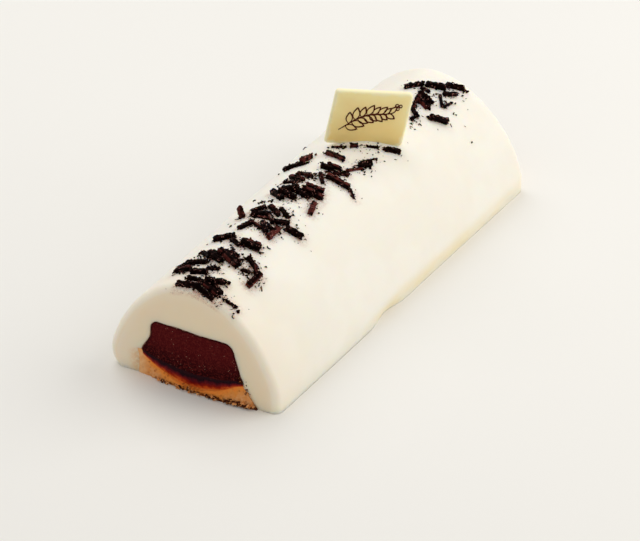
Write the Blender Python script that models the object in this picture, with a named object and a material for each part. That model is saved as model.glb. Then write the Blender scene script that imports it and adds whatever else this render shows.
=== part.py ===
"""Ice cream log cake, cut flat at both ends.

A white ice cream arch runs the whole length. Inside it lie a chocolate ice
cream insert, a band of chocolate sauce and a sponge base, each its own solid
running from end to end, 0.3 mm apart. Dark chocolate batons are strewn along
the ridge, fused to the white ice cream, and a white chocolate plaque stands in
the ridge.

The length is along Y with one cut face towards -Y, X is across and Z is up.
The origin is on the floor, at the middle of the log.
"""

import math
import random

import bmesh
import bpy
from mathutils import Euler, Vector, noise

MM = 0.001

# Log, in mm.
LENGTH = 240.0
WIDTH_FRONT = 92.4
WIDTH_BACK = 100.0
HEIGHT_FRONT = 55.7
HEIGHT_BACK = 56.1
FOOT_HEIGHT = 8.9
ROOF_ACROSS = 1.90
ROOF_UP = 1.40
LEFT_TUCK = 5.1
END_ROUND_FRONT = 4.0
END_ROUND_BACK = 5.1
GAP = 0.3

# The right foot flares a little in front, and is pinched in at one place.
FOOT_FLARE = 1.0
FLARE_FADE = 14.0
PINCH_Y = -17.0
PINCH_DEPTH = 3.6
PINCH_LENGTH = 9.0

# Low waves of the white ice cream: depth and spacing.
WAVES = ((0.40, 30.0), (0.16, 11.0))

# Chocolate insert.
INSERT_LOW_HALF = 27.3
INSERT_LOW_Z = 12.8
INSERT_HIGH_HALF = 23.1
INSERT_HIGH_Z = 26.4
INSERT_TOP_Z = 31.2
INSERT_SAG_Z = 8.5
INSERT_SAG = 0.0060

# Sauce band and the hollow it soaks into the sponge.
SAUCE_HALF = 27.0
SAUCE_LOW_Z = 1.6
SAUCE_CURVE = 0.0125

# Sponge.
SPONGE_LEFT = -29.5
SPONGE_RIGHT = 35.6
SPONGE_RIGHT_TOP = 27.3
SPONGE_LEFT_TOP_Z = 13.0
SPONGE_BULGE = 3.2
SPONGE_BULGE_X = 7.0
SPONGE_CRUMB = 0.35

# Plaque.
PLAQUE_WIDTH = 38.6
PLAQUE_HEIGHT = 29.8
PLAQUE_THICK = 3.2
PLAQUE_FOOT = (2.63, 37.16, 53.6)
PLAQUE_YAW = 36.0
PLAQUE_ROLL = -6.9
PLAQUE_SKEW = 5.0
PLAQUE_CORNERS = (1.8, 2.2, 3.0, 1.6)
PLAQUE_EDGE = 1.2

SEED = 24
LIFT_LIMIT = 3.4
# Batons: y and x of the middle, heading from +X to +Y in degrees, length and
# thickness. One that stands up on its end has its lift and tilt too.
BATONS = (
    # the heap at the front end
    (-104.6, -13.2, 8, 7.6, 3.1),
    (-105.8, -4.2, 16, 9.0, 3.1),
    (-100.4, -15.3, 33, 6.0, 2.7),
    (-97.0, -10.4, 0, 11.9, 2.7),
    (-117.6, -2.8, 4, 12.2, 2.9),
    (-118.2, 7.0, -9, 9.6, 2.8),
    (-115.4, 7.8, -11, 9.3, 2.7),
    (-112.6, -0.2, 0, 11.9, 2.3),
    (-113.2, 10.2, -31, 7.6, 2.2),
    (-109.4, 6.7, 42, 9.8, 2.9),
    (-100.3, 0.7, 23, 5.6, 2.0),
    (-89.5, -9.9, -34, 9.5, 2.3),
    (-92.2, -3.3, -19, 9.2, 3.1),
    (-88.4, -3.5, -9, 8.2, 2.7),
    (-90.0, 2.3, -21, 13.5, 2.9),
    (-87.5, 2.9, -22, 10.9, 2.6),
    (-84.9, 2.6, -35, 7.7, 1.9),
    (-71.6, -10.7, 15, 10.6, 3.1),
    (-75.3, -2.5, -30, 8.5, 2.3),
    (-74.9, 5.0, 10, 9.9, 3.1),
    (-71.9, 4.0, 13, 8.4, 2.7),
    # three leaning together beside it
    (-84.4, 11.6, -23, 6.9, 2.7),
    (-88.1, 15.5, -42, 6.2, 2.3),
    (-93.5, 17.6, 92, 10.6, 2.9),
    (-91.3, 12.5, 23, 4.0, 1.8),
    (-114.9, 18.5, 12, 5.8, 1.7),
    # the strewn middle
    (-47.6, -15.2, 120, 6.2, 2.8, 1.5, 0.95),
    (-42.2, -9.3, 44, 7.6, 2.7),
    (-46.7, -5.4, 12, 9.2, 2.7),
    (-41.5, -1.1, -35, 9.7, 2.7),
    (-40.5, 3.7, -37, 8.4, 2.3),
    (-49.0, 6.0, 31, 9.5, 2.9),
    (-58.2, -6.6, 65, 8.8, 2.5),
    (-56.9, -2.0, -20, 8.3, 1.5),
    (-56.9, 2.1, -49, 9.3, 2.5),
    (-58.2, 7.9, 90, 10.3, 2.8),
    (-49.8, 14.0, 12, 9.0, 3.1),
    (-27.5, 11.4, 107, 9.7, 2.6),
    (-49.1, -2.2, 3, 5.9, 1.7),
    (-55.7, 4.7, -39, 5.6, 1.7),
    # the stacked heap in front of the plaque
    (-26.6, -8.3, -35, 12.0, 2.9),
    (-26.3, -3.1, -10, 9.8, 2.9),
    (-21.1, 1.8, -8, 10.0, 3.1),
    (-12.6, -8.6, 9, 8.0, 1.8),
    (-21.1, -4.8, 15, 9.8, 2.7),
    (-18.6, 6.4, 9, 10.2, 3.1),
    (-13.6, 4.8, 8, 9.4, 2.7),
    (-8.9, -7.6, -15, 9.0, 2.7),
    (-4.3, -6.0, -1, 8.5, 2.3),
    (-4.2, 3.1, -52, 8.6, 2.3),
    (-0.6, 9.9, 5, 12.2, 3.1),
    (5.8, 8.3, 38, 8.3, 2.3),
    (5.6, 0.3, -5, 6.5, 3.1),
    (8.5, 3.0, 1, 7.2, 2.7),
    (14.2, 10.9, 62, 9.6, 1.7),
    (20.5, 12.8, 56, 7.8, 2.3),
    (22.5, 12.1, 45, 5.7, 1.8),
    (27.7, 12.8, 66, 7.4, 1.1),
    (7.3, -18.6, 9, 12.5, 2.7),
    (11.8, -14.0, 84, 8.0, 3.0),
    (17.7, -1.8, -11, 11.3, 2.9),
    (-1.2, 18.3, -36, 6.1, 1.2),
    # along the foot of the plaque
    (26.6, -5.6, 14, 5.8, 1.6),
    (30.6, 1.4, 38, 3.8, 2.0),
    (36.2, 8.7, 42, 5.9, 1.5),
    (42.2, 16.4, 42, 7.8, 2.8),
    # behind the plaque
    (82.4, 19.8, 39, 10.2, 3.1),
    (72.8, 11.7, 76, 5.1, 1.7),
    (76.0, 9.8, -43, 5.4, 2.1),
    (86.0, 9.0, -19, 9.3, 2.9),
    (90.8, 8.3, -21, 10.1, 2.9),
    (83.3, 6.4, -75, 9.6, 1.9),
    (95.4, 14.3, -52, 8.6, 1.7),
    (95.9, 17.7, 79, 7.3, 1.5),
    (103.5, 14.8, 51, 8.0, 2.3),
    (97.1, -1.9, 46, 10.4, 2.8),
    (102.9, 7.1, 27, 10.2, 3.1),
    (110.2, 13.8, 36, 9.7, 2.9),
    (96.6, 4.5, -5, 5.0, 1.9),
)


def clear_scene():
    for item in list(bpy.data.objects):
        bpy.data.objects.remove(item, do_unlink=True)


def material(name, colour, roughness):
    """A plain surface in this colour (linear red, green, blue)."""
    made = bpy.data.materials.new(name)
    made.use_nodes = True
    shader = made.node_tree.nodes["Principled BSDF"]
    shader.inputs["Base Color"].default_value = (*colour, 1.0)
    shader.inputs["Roughness"].default_value = roughness
    shader.inputs["Metallic"].default_value = 0.0
    return made


def shade(item):
    """Smooth, with the corners over 40 degrees kept sharp."""
    item.data.shade_smooth()
    item.data.set_sharp_from_angle(angle=math.radians(40))


def add_object(name, points, faces, finish=None):
    """One object from points in mm and faces that list them."""
    mesh = bpy.data.meshes.new(name)
    mesh.from_pydata([tuple(c * MM for c in p) for p in points], [], faces)
    mesh.validate()
    shape = bmesh.new()
    shape.from_mesh(mesh)
    bmesh.ops.recalc_face_normals(shape, faces=shape.faces)
    shape.to_mesh(mesh)
    shape.free()
    if finish:
        mesh.materials.append(finish)
    item = bpy.data.objects.new(name, mesh)
    bpy.context.scene.collection.objects.link(item)
    return item


def triangles(faces):
    """Each four-sided face split in two."""
    split = []
    for face in faces:
        split.extend((face[0], face[i], face[i + 1]) for i in range(1, len(face) - 1))
    return split


def apply_modifiers(item):
    bpy.context.view_layer.update()
    graph = bpy.context.evaluated_depsgraph_get()
    mesh = bpy.data.meshes.new_from_object(item.evaluated_get(graph))
    item.modifiers.clear()
    old, item.data = item.data, mesh
    bpy.data.meshes.remove(old)


def cut(item, cutter):
    """The cutter's shape taken out of the item, and the cutter removed."""
    cutter.hide_render = True
    cutter.display_type = "WIRE"
    step = item.modifiers.new("cut", "BOOLEAN")
    step.operation = "DIFFERENCE"
    step.solver = "EXACT"
    step.object = cutter
    apply_modifiers(item)
    bpy.data.objects.remove(cutter, do_unlink=True)


def between(a, b, t):
    return a + (b - a) * t


def along(y):
    """How far y is from the front end to the back end, 0 to 1."""
    return (y + LENGTH / 2) / LENGTH


def half_width(y):
    return between(WIDTH_FRONT, WIDTH_BACK, along(y)) / 2


def height(y):
    return between(HEIGHT_FRONT, HEIGHT_BACK, along(y))


def foot_tuck(y, side):
    """How far the foot is drawn in under the side at the floor."""
    if side < 0:
        return LEFT_TUCK
    pinch = PINCH_DEPTH * math.exp(-(((y - PINCH_Y) / PINCH_LENGTH) ** 2))
    flare = FOOT_FLARE / (1 + math.exp((y - PINCH_Y) / FLARE_FADE))
    return pinch - flare + 0.4


def section_point(y, u):
    """Plain section: u is 0 on the ridge and +1 or -1 on the floor at each side."""
    side = -1.0 if u < 0 else 1.0
    share = abs(u)
    half, top = half_width(y), height(y)
    if share <= 0.84:
        turn = math.radians(90 * (1 - share / 0.84))
        x = half * math.cos(turn) ** (2 / ROOF_ACROSS)
        z = FOOT_HEIGHT + (top - FOOT_HEIGHT) * max(math.sin(turn), 0.0) ** (2 / ROOF_UP)
    else:
        turn = math.radians(90 * (1 - (share - 0.84) / 0.16))
        x = half - foot_tuck(y, side) * (1 - math.sin(turn))
        z = FOOT_HEIGHT * (1 - math.cos(turn))
    return side * x, z


def section_normal(y, u):
    """Outward direction across the section."""
    ax, az = section_point(y, max(u - 0.004, -1.0))
    bx, bz = section_point(y, min(u + 0.004, 1.0))
    run = math.hypot(bx - ax, bz - az)
    return (az - bz) / run, (bx - ax) / run


def waves(x, y, z):
    return sum(deep * noise.noise(Vector((x, y, z)) / wide) for deep, wide in WAVES)


def end_inset(y):
    """How far the outside is drawn in at the rounded rims of the ends."""
    inset = 0.0
    for distance, radius in (
        (y + LENGTH / 2, END_ROUND_FRONT),
        (LENGTH / 2 - y, END_ROUND_BACK),
    ):
        if distance < radius:
            inset = radius - math.sqrt(max(radius**2 - (radius - distance) ** 2, 0.0))
    return inset


def outside(y, u):
    """A point on the white ice cream, with its waves and rounded rims."""
    x, z = section_point(y, u)
    nx, nz = section_normal(y, u)
    inset = end_inset(y)
    move = waves(x, y, z) * min(z / 3, 1.0)
    x = (x + nx * move) * (1 - inset / half_width(y))
    return Vector((x, y, (z + nz * move) * (1 - inset / height(y))))


def roof_share(y, x):
    """The u at which the roof is x from the middle."""
    turn = math.acos(min(abs(x) / half_width(y), 1.0) ** (ROOF_ACROSS / 2))
    share = 0.84 * (1 - math.degrees(turn) / 90)
    return -share if x < 0 else share


def roof_frame(y, x):
    """Point on the roof, its direction across, along and outwards."""
    u = roof_share(y, x)
    y = max(min(y, LENGTH / 2 - 0.5), -LENGTH / 2 + 0.5)
    here = outside(y, u)
    across = (outside(y, u + 0.01) - outside(y, u - 0.01)).normalized()
    ahead = (outside(min(y + 1, LENGTH / 2), u) - outside(max(y - 1, -LENGTH / 2), u)).normalized()
    out = across.cross(ahead).normalized()
    return here, across, out.cross(across).normalized(), out


def rim_stations():
    """Places along Y: close together where the rims are rounded."""
    front = [
        -LENGTH / 2 + END_ROUND_FRONT * (1 - math.cos(math.radians(a)))
        for a in (0, 30, 60, 90)
    ]
    back = [
        LENGTH / 2 - END_ROUND_BACK * (1 - math.cos(math.radians(a)))
        for a in (90, 60, 30, 0)
    ]
    middle = [between(front[-1], back[0], i / 38) for i in range(1, 38)]
    return front + middle + back


def white_ice_cream(finish):
    roof, floor = 46, 12
    points, faces = [], []
    stations = rim_stations()
    ring = roof + floor
    for y in stations:
        points.extend(outside(y, -1 + 2 * i / roof) for i in range(roof + 1))
        right, left = outside(y, 1.0), outside(y, -1.0)
        points.extend(right.lerp(left, i / floor) for i in range(1, floor))
    for k in range(len(stations) - 1):
        for i in range(ring):
            j = (i + 1) % ring
            a, b = k * ring, (k + 1) * ring
            faces.append((a + i, a + j, b + j, b + i))
    for k in (0, len(stations) - 1):
        centre = Vector((0.0, stations[k], 22.0))
        last = list(range(k * ring, (k + 1) * ring))
        for share in (0.8, 0.55, 0.28):
            first = len(points)
            points.extend(centre.lerp(points[k * ring + i], share) for i in range(ring))
            for i in range(ring):
                j = (i + 1) % ring
                faces.append((last[i], last[j], first + j, first + i))
            last = list(range(first, first + ring))
        points.append(centre)
        faces.extend((last[i], last[(i + 1) % ring], len(points) - 1) for i in range(ring))
    return add_object("white_ice_cream", points, triangles(faces), finish)


def insert_half(z):
    """Half the width of the insert at this height."""
    if z <= INSERT_HIGH_Z:
        share = (z - INSERT_LOW_Z) / (INSERT_HIGH_Z - INSERT_LOW_Z)
        return between(INSERT_LOW_HALF, INSERT_HIGH_HALF, max(share, 0.0))
    radius = INSERT_TOP_Z - INSERT_HIGH_Z
    rise = min((z - INSERT_HIGH_Z) / radius, 1.0)
    return INSERT_HIGH_HALF - radius * (1 - math.sqrt(1 - rise**2))


def insert_bottom(x):
    return INSERT_SAG_Z + INSERT_SAG * x**2


def sauce_bottom(x):
    return SAUCE_LOW_Z + SAUCE_CURVE * x**2


def cavity_cutter():
    """The room for the insert, sauce and sponge, open at both ends and below."""
    slope = (SPONGE_RIGHT - SPONGE_RIGHT_TOP) / sauce_bottom(SAUCE_HALF)
    side = []
    for i in range(13):
        turn = math.radians(90 * i / 12)
        z = INSERT_HIGH_Z + (INSERT_TOP_Z - INSERT_HIGH_Z) * math.sin(turn)
        z_out = INSERT_HIGH_Z + (INSERT_TOP_Z - INSERT_HIGH_Z + GAP) * math.sin(turn)
        side.append((insert_half(z) + GAP * math.cos(turn), z_out))
    outline = [(SPONGE_LEFT - GAP, -4.0), (SPONGE_LEFT - GAP, SPONGE_LEFT_TOP_Z + GAP)]
    outline.append((-insert_half(SPONGE_LEFT_TOP_Z + GAP) - GAP, SPONGE_LEFT_TOP_Z + GAP))
    outline.extend((-x, z) for x, z in side)
    outline.extend(reversed(side))
    outline.append((INSERT_LOW_HALF + GAP, INSERT_LOW_Z))
    outline.append((SPONGE_RIGHT_TOP + 1.3 * GAP, sauce_bottom(SAUCE_HALF) + 0.5 * GAP))
    outline.append((SPONGE_RIGHT + 1.3 * GAP + 4.0 * slope, -4.0))
    count = len(outline)
    reach = LENGTH / 2 + 6
    points = [(x, y, z) for y in (-reach, reach) for x, z in outline]
    faces = [(i, (i + 1) % count, count + (i + 1) % count, count + i) for i in range(count)]
    faces += [tuple(range(count)), tuple(range(count, 2 * count))]
    return add_object("cavity", points, faces)


def layer(name, counts, place, finish):
    """A bar from end to end; place gives a point for shares 0 to 1 across, up and along."""
    nx, nz, ny = counts
    points, index, faces = [], {}, []

    def at(i, j, k):
        if (i, j, k) not in index:
            index[i, j, k] = len(points)
            points.append(place(i / nx, j / nz, k / ny))
        return index[i, j, k]

    for i in range(nx):
        for k in range(ny):
            for j in (0, nz):
                faces.append((at(i, j, k), at(i + 1, j, k), at(i + 1, j, k + 1), at(i, j, k + 1)))
    for j in range(nz):
        for k in range(ny):
            for i in (0, nx):
                faces.append((at(i, j, k), at(i, j + 1, k), at(i, j + 1, k + 1), at(i, j, k + 1)))
    for i in range(nx):
        for j in range(nz):
            for k in (0, ny):
                faces.append((at(i, j, k), at(i + 1, j, k), at(i + 1, j + 1, k), at(i, j + 1, k)))
    item = add_object(name, points, triangles(faces), finish)
    shade(item)
    return item


def insert_place(across, up, share):
    z_side = between(INSERT_LOW_Z, INSERT_TOP_Z, math.sin(math.radians(90 * up)))
    x = (2 * across - 1) * insert_half(z_side)
    rise = (z_side - INSERT_LOW_Z) / (INSERT_TOP_Z - INSERT_LOW_Z)
    return x, between(-LENGTH / 2, LENGTH / 2, share), between(insert_bottom(x), INSERT_TOP_Z, rise)


def sauce_place(across, up, share):
    x = between(-SAUCE_HALF, SAUCE_HALF, across)
    z = between(sauce_bottom(x), insert_bottom(x) - GAP, up)
    return x, between(-LENGTH / 2, LENGTH / 2, share), z


def sponge_place(across, up, share):
    low = between(SPONGE_LEFT, SPONGE_RIGHT, across)
    if across <= 1 / 24:
        high, top = between(SPONGE_LEFT, -SAUCE_HALF - GAP, across * 24), SPONGE_LEFT_TOP_Z
    else:
        high = between(-SAUCE_HALF, SPONGE_RIGHT_TOP, (across * 24 - 2) / 22)
        top = sauce_bottom(min(high, SAUCE_HALF)) - GAP
    x, z = between(low, high, up), top * up
    y = between(-LENGTH / 2, LENGTH / 2, share)
    if share in (0.0, 1.0):
        middle = math.cos(math.pi * (x - SPONGE_BULGE_X) / 74) * math.exp(-((z / 5.0) ** 2))
        crumb = SPONGE_CRUMB * noise.noise(Vector((x, 0.0, z)) / 2.2)
        y += (SPONGE_BULGE * max(middle, 0.0) + crumb - 0.1) * (1 if share else -1)
    return x, y, z


def stand_in_ridge(item):
    """Puts a slab that was made flat in X and Z at the plaque's place."""
    item.location = [c * MM for c in PLAQUE_FOOT]
    turn = Euler((0.0, math.radians(-PLAQUE_ROLL), math.radians(PLAQUE_YAW)), "XYZ")
    item.rotation_euler = turn


def plaque_outline(grow):
    """Rounded corners of the slanted plaque, from the lower left round to the right."""
    skew = math.tan(math.radians(PLAQUE_SKEW))
    w, h = PLAQUE_WIDTH / 2 + grow, PLAQUE_HEIGHT
    corners = ((-w, -grow, 180), (w, -grow, 270), (w, h + grow, 0), (-w, h + grow, 90))
    found = []
    for (u, v, start), radius in zip(corners, PLAQUE_CORNERS):
        radius += grow
        inward_u = radius if u < 0 else -radius
        inward_v = radius if v < 0 or v == 0 else -radius
        for i in range(5):
            turn = math.radians(start + 90 * i / 4)
            pu = u + inward_u + radius * math.cos(turn)
            pv = v + inward_v + radius * math.sin(turn)
            found.append((pu + skew * pv, pv))
    return found


def plaque_slab(name, grow, finish=None):
    outline = plaque_outline(grow)
    count = len(outline)
    points = [(u, y, v) for y in (-grow, PLAQUE_THICK + grow) for u, v in outline]
    faces = [(i, (i + 1) % count, count + (i + 1) % count, count + i) for i in range(count)]
    faces += [tuple(range(count)), tuple(range(count, 2 * count))]
    item = add_object(name, points, faces, finish)
    stand_in_ridge(item)
    return item


def plaque(finish):
    item = plaque_slab("plaque", 0.0, finish)
    edge = item.modifiers.new("soft rim", "BEVEL")
    edge.width = PLAQUE_EDGE * MM
    edge.segments = 2
    edge.limit_method = "ANGLE"
    edge.angle_limit = math.radians(50)
    shade(item)
    return item


def baton(chance, y, x, heading, length, thick, lift, tilt):
    """One roughly cut stick of chocolate, its underside pressed into the roof."""
    here, across, ahead, out = roof_frame(y, x)
    turn = math.radians(heading)
    level = (across * math.cos(turn) + ahead * math.sin(turn)).normalized()
    side = out.cross(level).normalized()
    run = level * math.cos(tilt) + out * math.sin(tilt)
    up = out * math.cos(tilt) - level * math.sin(tilt)
    sink = 0.5 + 0.03 * length
    centre = here + out * (thick / 2 - sink + lift)
    wide = thick * chance.uniform(0.95, 1.25)
    points = []
    for end in (-1, 1):
        cut_back = chance.uniform(-0.12, 0.12) * thick
        for flank, upward in ((-1, -1), (1, -1), (1, 1), (-1, 1)):
            points.append(
                centre
                + run * (end * length / 2 + cut_back * flank)
                + side * (flank * wide / 2 * chance.uniform(0.82, 1.0))
                + up * (upward * thick / 2 * chance.uniform(0.88, 1.0))
            )
    faces = [(0, 3, 2, 1), (4, 5, 6, 7), (0, 1, 5, 4), (1, 2, 6, 5), (2, 3, 7, 6), (3, 0, 4, 7)]
    return points, triangles(faces)


def resting_on(laid, y, x, heading, length, thick):
    """How high, and at what tilt, a baton lies over the ones already laid."""
    own = math.radians(heading)
    highest, contact = 0.0, 0.0
    for old_y, old_x, old_heading, old_length, old_thick, old_lift, old_tilt in laid:
        angle = math.radians(old_heading)
        touched, step = [], 0.0
        for i in range(-4, 5):
            share = i / 4.4
            dx = 1.1 * (x - old_x) + share * length / 2 * math.cos(own)
            dy = y - old_y + share * length / 2 * math.sin(own)
            ahead = dx * math.cos(angle) + dy * math.sin(angle)
            aside = dy * math.cos(angle) - dx * math.sin(angle)
            if abs(ahead) < old_length / 2 and abs(aside) < (old_thick + 0.5 * thick) / 2:
                touched.append(share)
                step = max(step, old_lift + ahead * math.tan(old_tilt) + 0.5 * old_thick)
        if touched and step > highest:
            highest, contact = min(step, LIFT_LIMIT), sum(touched) / len(touched)
    if abs(contact) < 0.35:
        return highest, 0.0
    lift = highest / (1 + abs(contact))
    return lift, math.copysign(math.asin(min(2 * lift / length, 0.45)), contact)


def all_batons():
    """Every baton, each lifted where it lies over an earlier one."""
    chance = random.Random(SEED)
    laid, made = [], []
    for y, x, heading, length, thick, *stood in BATONS:
        lift, tilt = stood or resting_on(laid, y, x, heading, length, thick)
        laid.append((y, x, heading, length, thick, lift, tilt))
        made.append(baton(chance, y, x, heading, length, thick, lift, tilt))
    return made


def fuse_batons(item):
    """All batons joined to the white ice cream by one union."""
    strewn = bpy.data.collections.new("strewn")
    bpy.context.scene.collection.children.link(strewn)
    for number, (points, faces) in enumerate(all_batons()):
        piece = add_object(f"baton_{number}", points, faces)
        bpy.context.scene.collection.objects.unlink(piece)
        strewn.objects.link(piece)
    join = item.modifiers.new("batons", "BOOLEAN")
    join.operation = "UNION"
    join.operand_type = "COLLECTION"
    join.solver = "EXACT"
    join.collection = strewn
    apply_modifiers(item)
    for piece in list(strewn.objects):
        bpy.data.objects.remove(piece, do_unlink=True)
    bpy.data.collections.remove(strewn)


def main():
    clear_scene()
    white = material("white ice cream", (0.86, 0.80, 0.68), 0.55)
    dark = material("chocolate ice cream", (0.055, 0.012, 0.010), 0.60)
    sauce = material("chocolate sauce", (0.014, 0.003, 0.004), 0.35)
    crumb = material("sponge", (0.24, 0.075, 0.028), 0.90)
    ivory = material("white chocolate", (0.78, 0.62, 0.28), 0.40)

    log = white_ice_cream(white)
    cut(log, cavity_cutter())
    fuse_batons(log)
    cut(log, plaque_slab("slot", GAP))
    log.data.materials.clear()
    log.data.materials.append(white)
    shade(log)

    layer("chocolate_insert", (18, 8, 6), insert_place, dark)
    layer("chocolate_sauce", (18, 2, 6), sauce_place, sauce)
    layer("sponge_base", (24, 4, 6), sponge_place, crumb)
    plaque(ivory)


main()
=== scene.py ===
"""Looks, light and camera for the ice cream log cake.

The white ice cream, its chocolate insert, the sauce band, the sponge base and
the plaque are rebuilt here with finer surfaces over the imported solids. Dark
chocolate batons lie where the solids have them, with their crumbs and curls
strewn between. All lengths are in mm until a mesh is made, the length of the
log is along Y with one cut face towards -Y, and Z is up.
"""

import logging
import math
import random
from dataclasses import dataclass, field
from enum import Enum
from typing import Callable, Sequence

import bmesh
import bpy
from mathutils import Euler, Matrix, Vector, noise


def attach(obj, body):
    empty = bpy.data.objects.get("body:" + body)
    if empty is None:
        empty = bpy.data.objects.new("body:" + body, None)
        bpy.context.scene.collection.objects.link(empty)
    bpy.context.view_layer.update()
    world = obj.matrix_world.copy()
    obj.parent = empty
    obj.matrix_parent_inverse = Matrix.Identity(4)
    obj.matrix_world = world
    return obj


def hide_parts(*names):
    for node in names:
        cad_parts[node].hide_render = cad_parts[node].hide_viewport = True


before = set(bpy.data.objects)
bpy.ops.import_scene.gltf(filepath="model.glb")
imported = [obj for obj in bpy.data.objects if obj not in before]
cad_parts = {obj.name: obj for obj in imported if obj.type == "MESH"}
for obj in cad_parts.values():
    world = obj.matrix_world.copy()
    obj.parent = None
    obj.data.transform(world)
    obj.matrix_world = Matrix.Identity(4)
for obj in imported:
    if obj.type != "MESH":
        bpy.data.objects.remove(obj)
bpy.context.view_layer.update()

MM = 0.001
BODY = "root"
# where clouds of noise begin and end: for roughness, and for values that drift
CLOUD = (0.35, 0.65)
DRIFT = (0.30, 0.70)
# corners of a square, going round
SQUARE = ((-1, -1), (1, -1), (1, 1), (-1, 1))

Rgb = tuple[float, float, float]
Place = tuple[float, float]

log = logging.getLogger("ice_cream_log_cake")


def between(a: float, b: float, t: float) -> float:
    """The value a share t of the way from a to b."""
    return a + (b - a) * t


def ease(low: float, high: float, value: float) -> float:
    """0 up to low, 1 from high on, and a smooth rise from one to the other."""
    t = min(max((value - low) / (high - low), 0.0), 1.0)
    return t * t * (3 - 2 * t)


def lumps(place: Vector, wide: float) -> float:
    """Smooth noise between about -1 and 1 whose lumps are this wide in mm."""
    return noise.noise(place / wide)


def uneven(place: Vector, sizes: Sequence[Place]) -> float:
    """Lumps of several sizes added up, each given as its depth and width."""
    return sum(deep * lumps(place, wide) for deep, wide in sizes)


def partway(a: Place, b: Place, t: float) -> Place:
    """The place a share t of the way from a to b."""
    return between(a[0], b[0], t), between(a[1], b[1], t)


def turned(first: Vector, second: Vector, turn: float) -> Vector:
    """The direction this many radians from the first towards the second."""
    return first * math.cos(turn) + second * math.sin(turn)


def taper(t: float, tip: float) -> float:
    """Thickness along a line: 1 in its middle and less at its ends."""
    return 0.35 + 0.65 * math.sin(math.pi * between(tip, 1 - tip, t))


# --------------------------------------------------------------------------
# Meshes


def placed(name: str, data: bpy.types.ID) -> bpy.types.Object:
    """Puts a mesh, light or camera into the scene as an object of this name."""
    made = bpy.data.objects.new(name, data)
    bpy.context.scene.collection.objects.link(made)
    return made


@dataclass
class Shell:
    """Points, faces and marks of one piece while it is made, in mm."""

    points: list[Vector] = field(default_factory=list)
    faces: list[tuple[int, ...]] = field(default_factory=list)
    marks: dict[str, dict[int, float]] = field(default_factory=dict)

    def point(self, place: Vector, **marks: float) -> int:
        """Adds a point.

        Args:
            place: where it is, in mm.
            marks: values that the finish reads at this point.

        Returns:
            Its number.
        """
        self.points.append(Vector(place))
        number = len(self.points) - 1
        for name, value in marks.items():
            self.marks.setdefault(name, {})[number] = value
        return number

    def strip(self, first: Sequence[int], second: Sequence[int], closed: bool = False) -> None:
        """Lays four-sided faces between two rows of points.

        Args:
            first: the numbers of one row.
            second: the numbers of the other row, as many.
            closed: whether the rows run round to their start.
        """
        count = len(first)
        for i in range(count if closed else count - 1):
            j = (i + 1) % count
            self.faces.append((first[i], first[j], second[j], second[i]))

    def piece(self, name: str, sharp: float = 40.0) -> bpy.types.Object:
        """Makes the object.

        Args:
            name: the name of the piece.
            sharp: corners over this many degrees stay sharp.

        Returns:
            The new object, with its marks as point attributes.
        """
        mesh = bpy.data.meshes.new(name)
        mesh.from_pydata([tuple(c * MM for c in p) for p in self.points], [], self.faces)
        shape = bmesh.new()
        shape.from_mesh(mesh)
        bmesh.ops.recalc_face_normals(shape, faces=shape.faces)
        shape.to_mesh(mesh)
        shape.free()
        for mark, values in self.marks.items():
            written = mesh.attributes.new(mark, "FLOAT", "POINT")
            count = len(mesh.vertices)
            written.data.foreach_set("value", [values.get(i, 0.0) for i in range(count)])
        mesh.shade_smooth()
        mesh.set_sharp_from_angle(angle=math.radians(sharp))
        return placed(name, mesh)


@dataclass
class Heap:
    """Small bits of one piece while it is made, in mm, and the draws for them."""

    chance: random.Random
    shape: bmesh.types.BMesh = field(default_factory=bmesh.new)

    def bit(
        self, here: Vector, ways: tuple[Vector, Vector, Vector], size: Vector
    ) -> list[bmesh.types.BMVert]:
        """Adds one bit with flat faces and random corners.

        Args:
            here: its middle.
            ways: its own three directions.
            size: its length along each of them.

        Returns:
            Its corners.
        """
        points = []
        for _ in range(9):
            spot = Vector([self.chance.gauss(0, 1) for _ in range(3)]).normalized() / 2
            away = sum((way * a * b for way, a, b in zip(ways, spot, size)), Vector())
            points.append(self.shape.verts.new(here + away))
        hull = bmesh.ops.convex_hull(self.shape, input=points)
        loose = [v for v in hull["geom_interior"] if isinstance(v, bmesh.types.BMVert)]
        loose += [v for v in points if v.is_valid and not v.link_faces and v not in loose]
        bmesh.ops.delete(self.shape, geom=loose, context="VERTS")
        return [v for v in points if v.is_valid]

    def piece(self, name: str) -> bpy.types.Object:
        """Makes the object, flat on every face."""
        mesh = bpy.data.meshes.new(name)
        bmesh.ops.recalc_face_normals(self.shape, faces=self.shape.faces)
        bmesh.ops.scale(self.shape, vec=(MM, MM, MM), verts=self.shape.verts)
        self.shape.to_mesh(mesh)
        self.shape.free()
        return placed(name, mesh)


def dress(piece: bpy.types.Object, finish: bpy.types.Material, slot: str, *nodes: str) -> None:
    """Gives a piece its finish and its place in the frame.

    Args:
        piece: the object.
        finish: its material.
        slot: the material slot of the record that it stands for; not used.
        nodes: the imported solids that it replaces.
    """
    piece.data.materials.clear()
    piece.data.materials.append(finish)
    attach(piece, BODY)
    if nodes:
        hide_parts(*nodes)
    log.info("%s: %d faces", piece.name, len(piece.data.polygons))


# --------------------------------------------------------------------------
# Finishes


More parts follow.
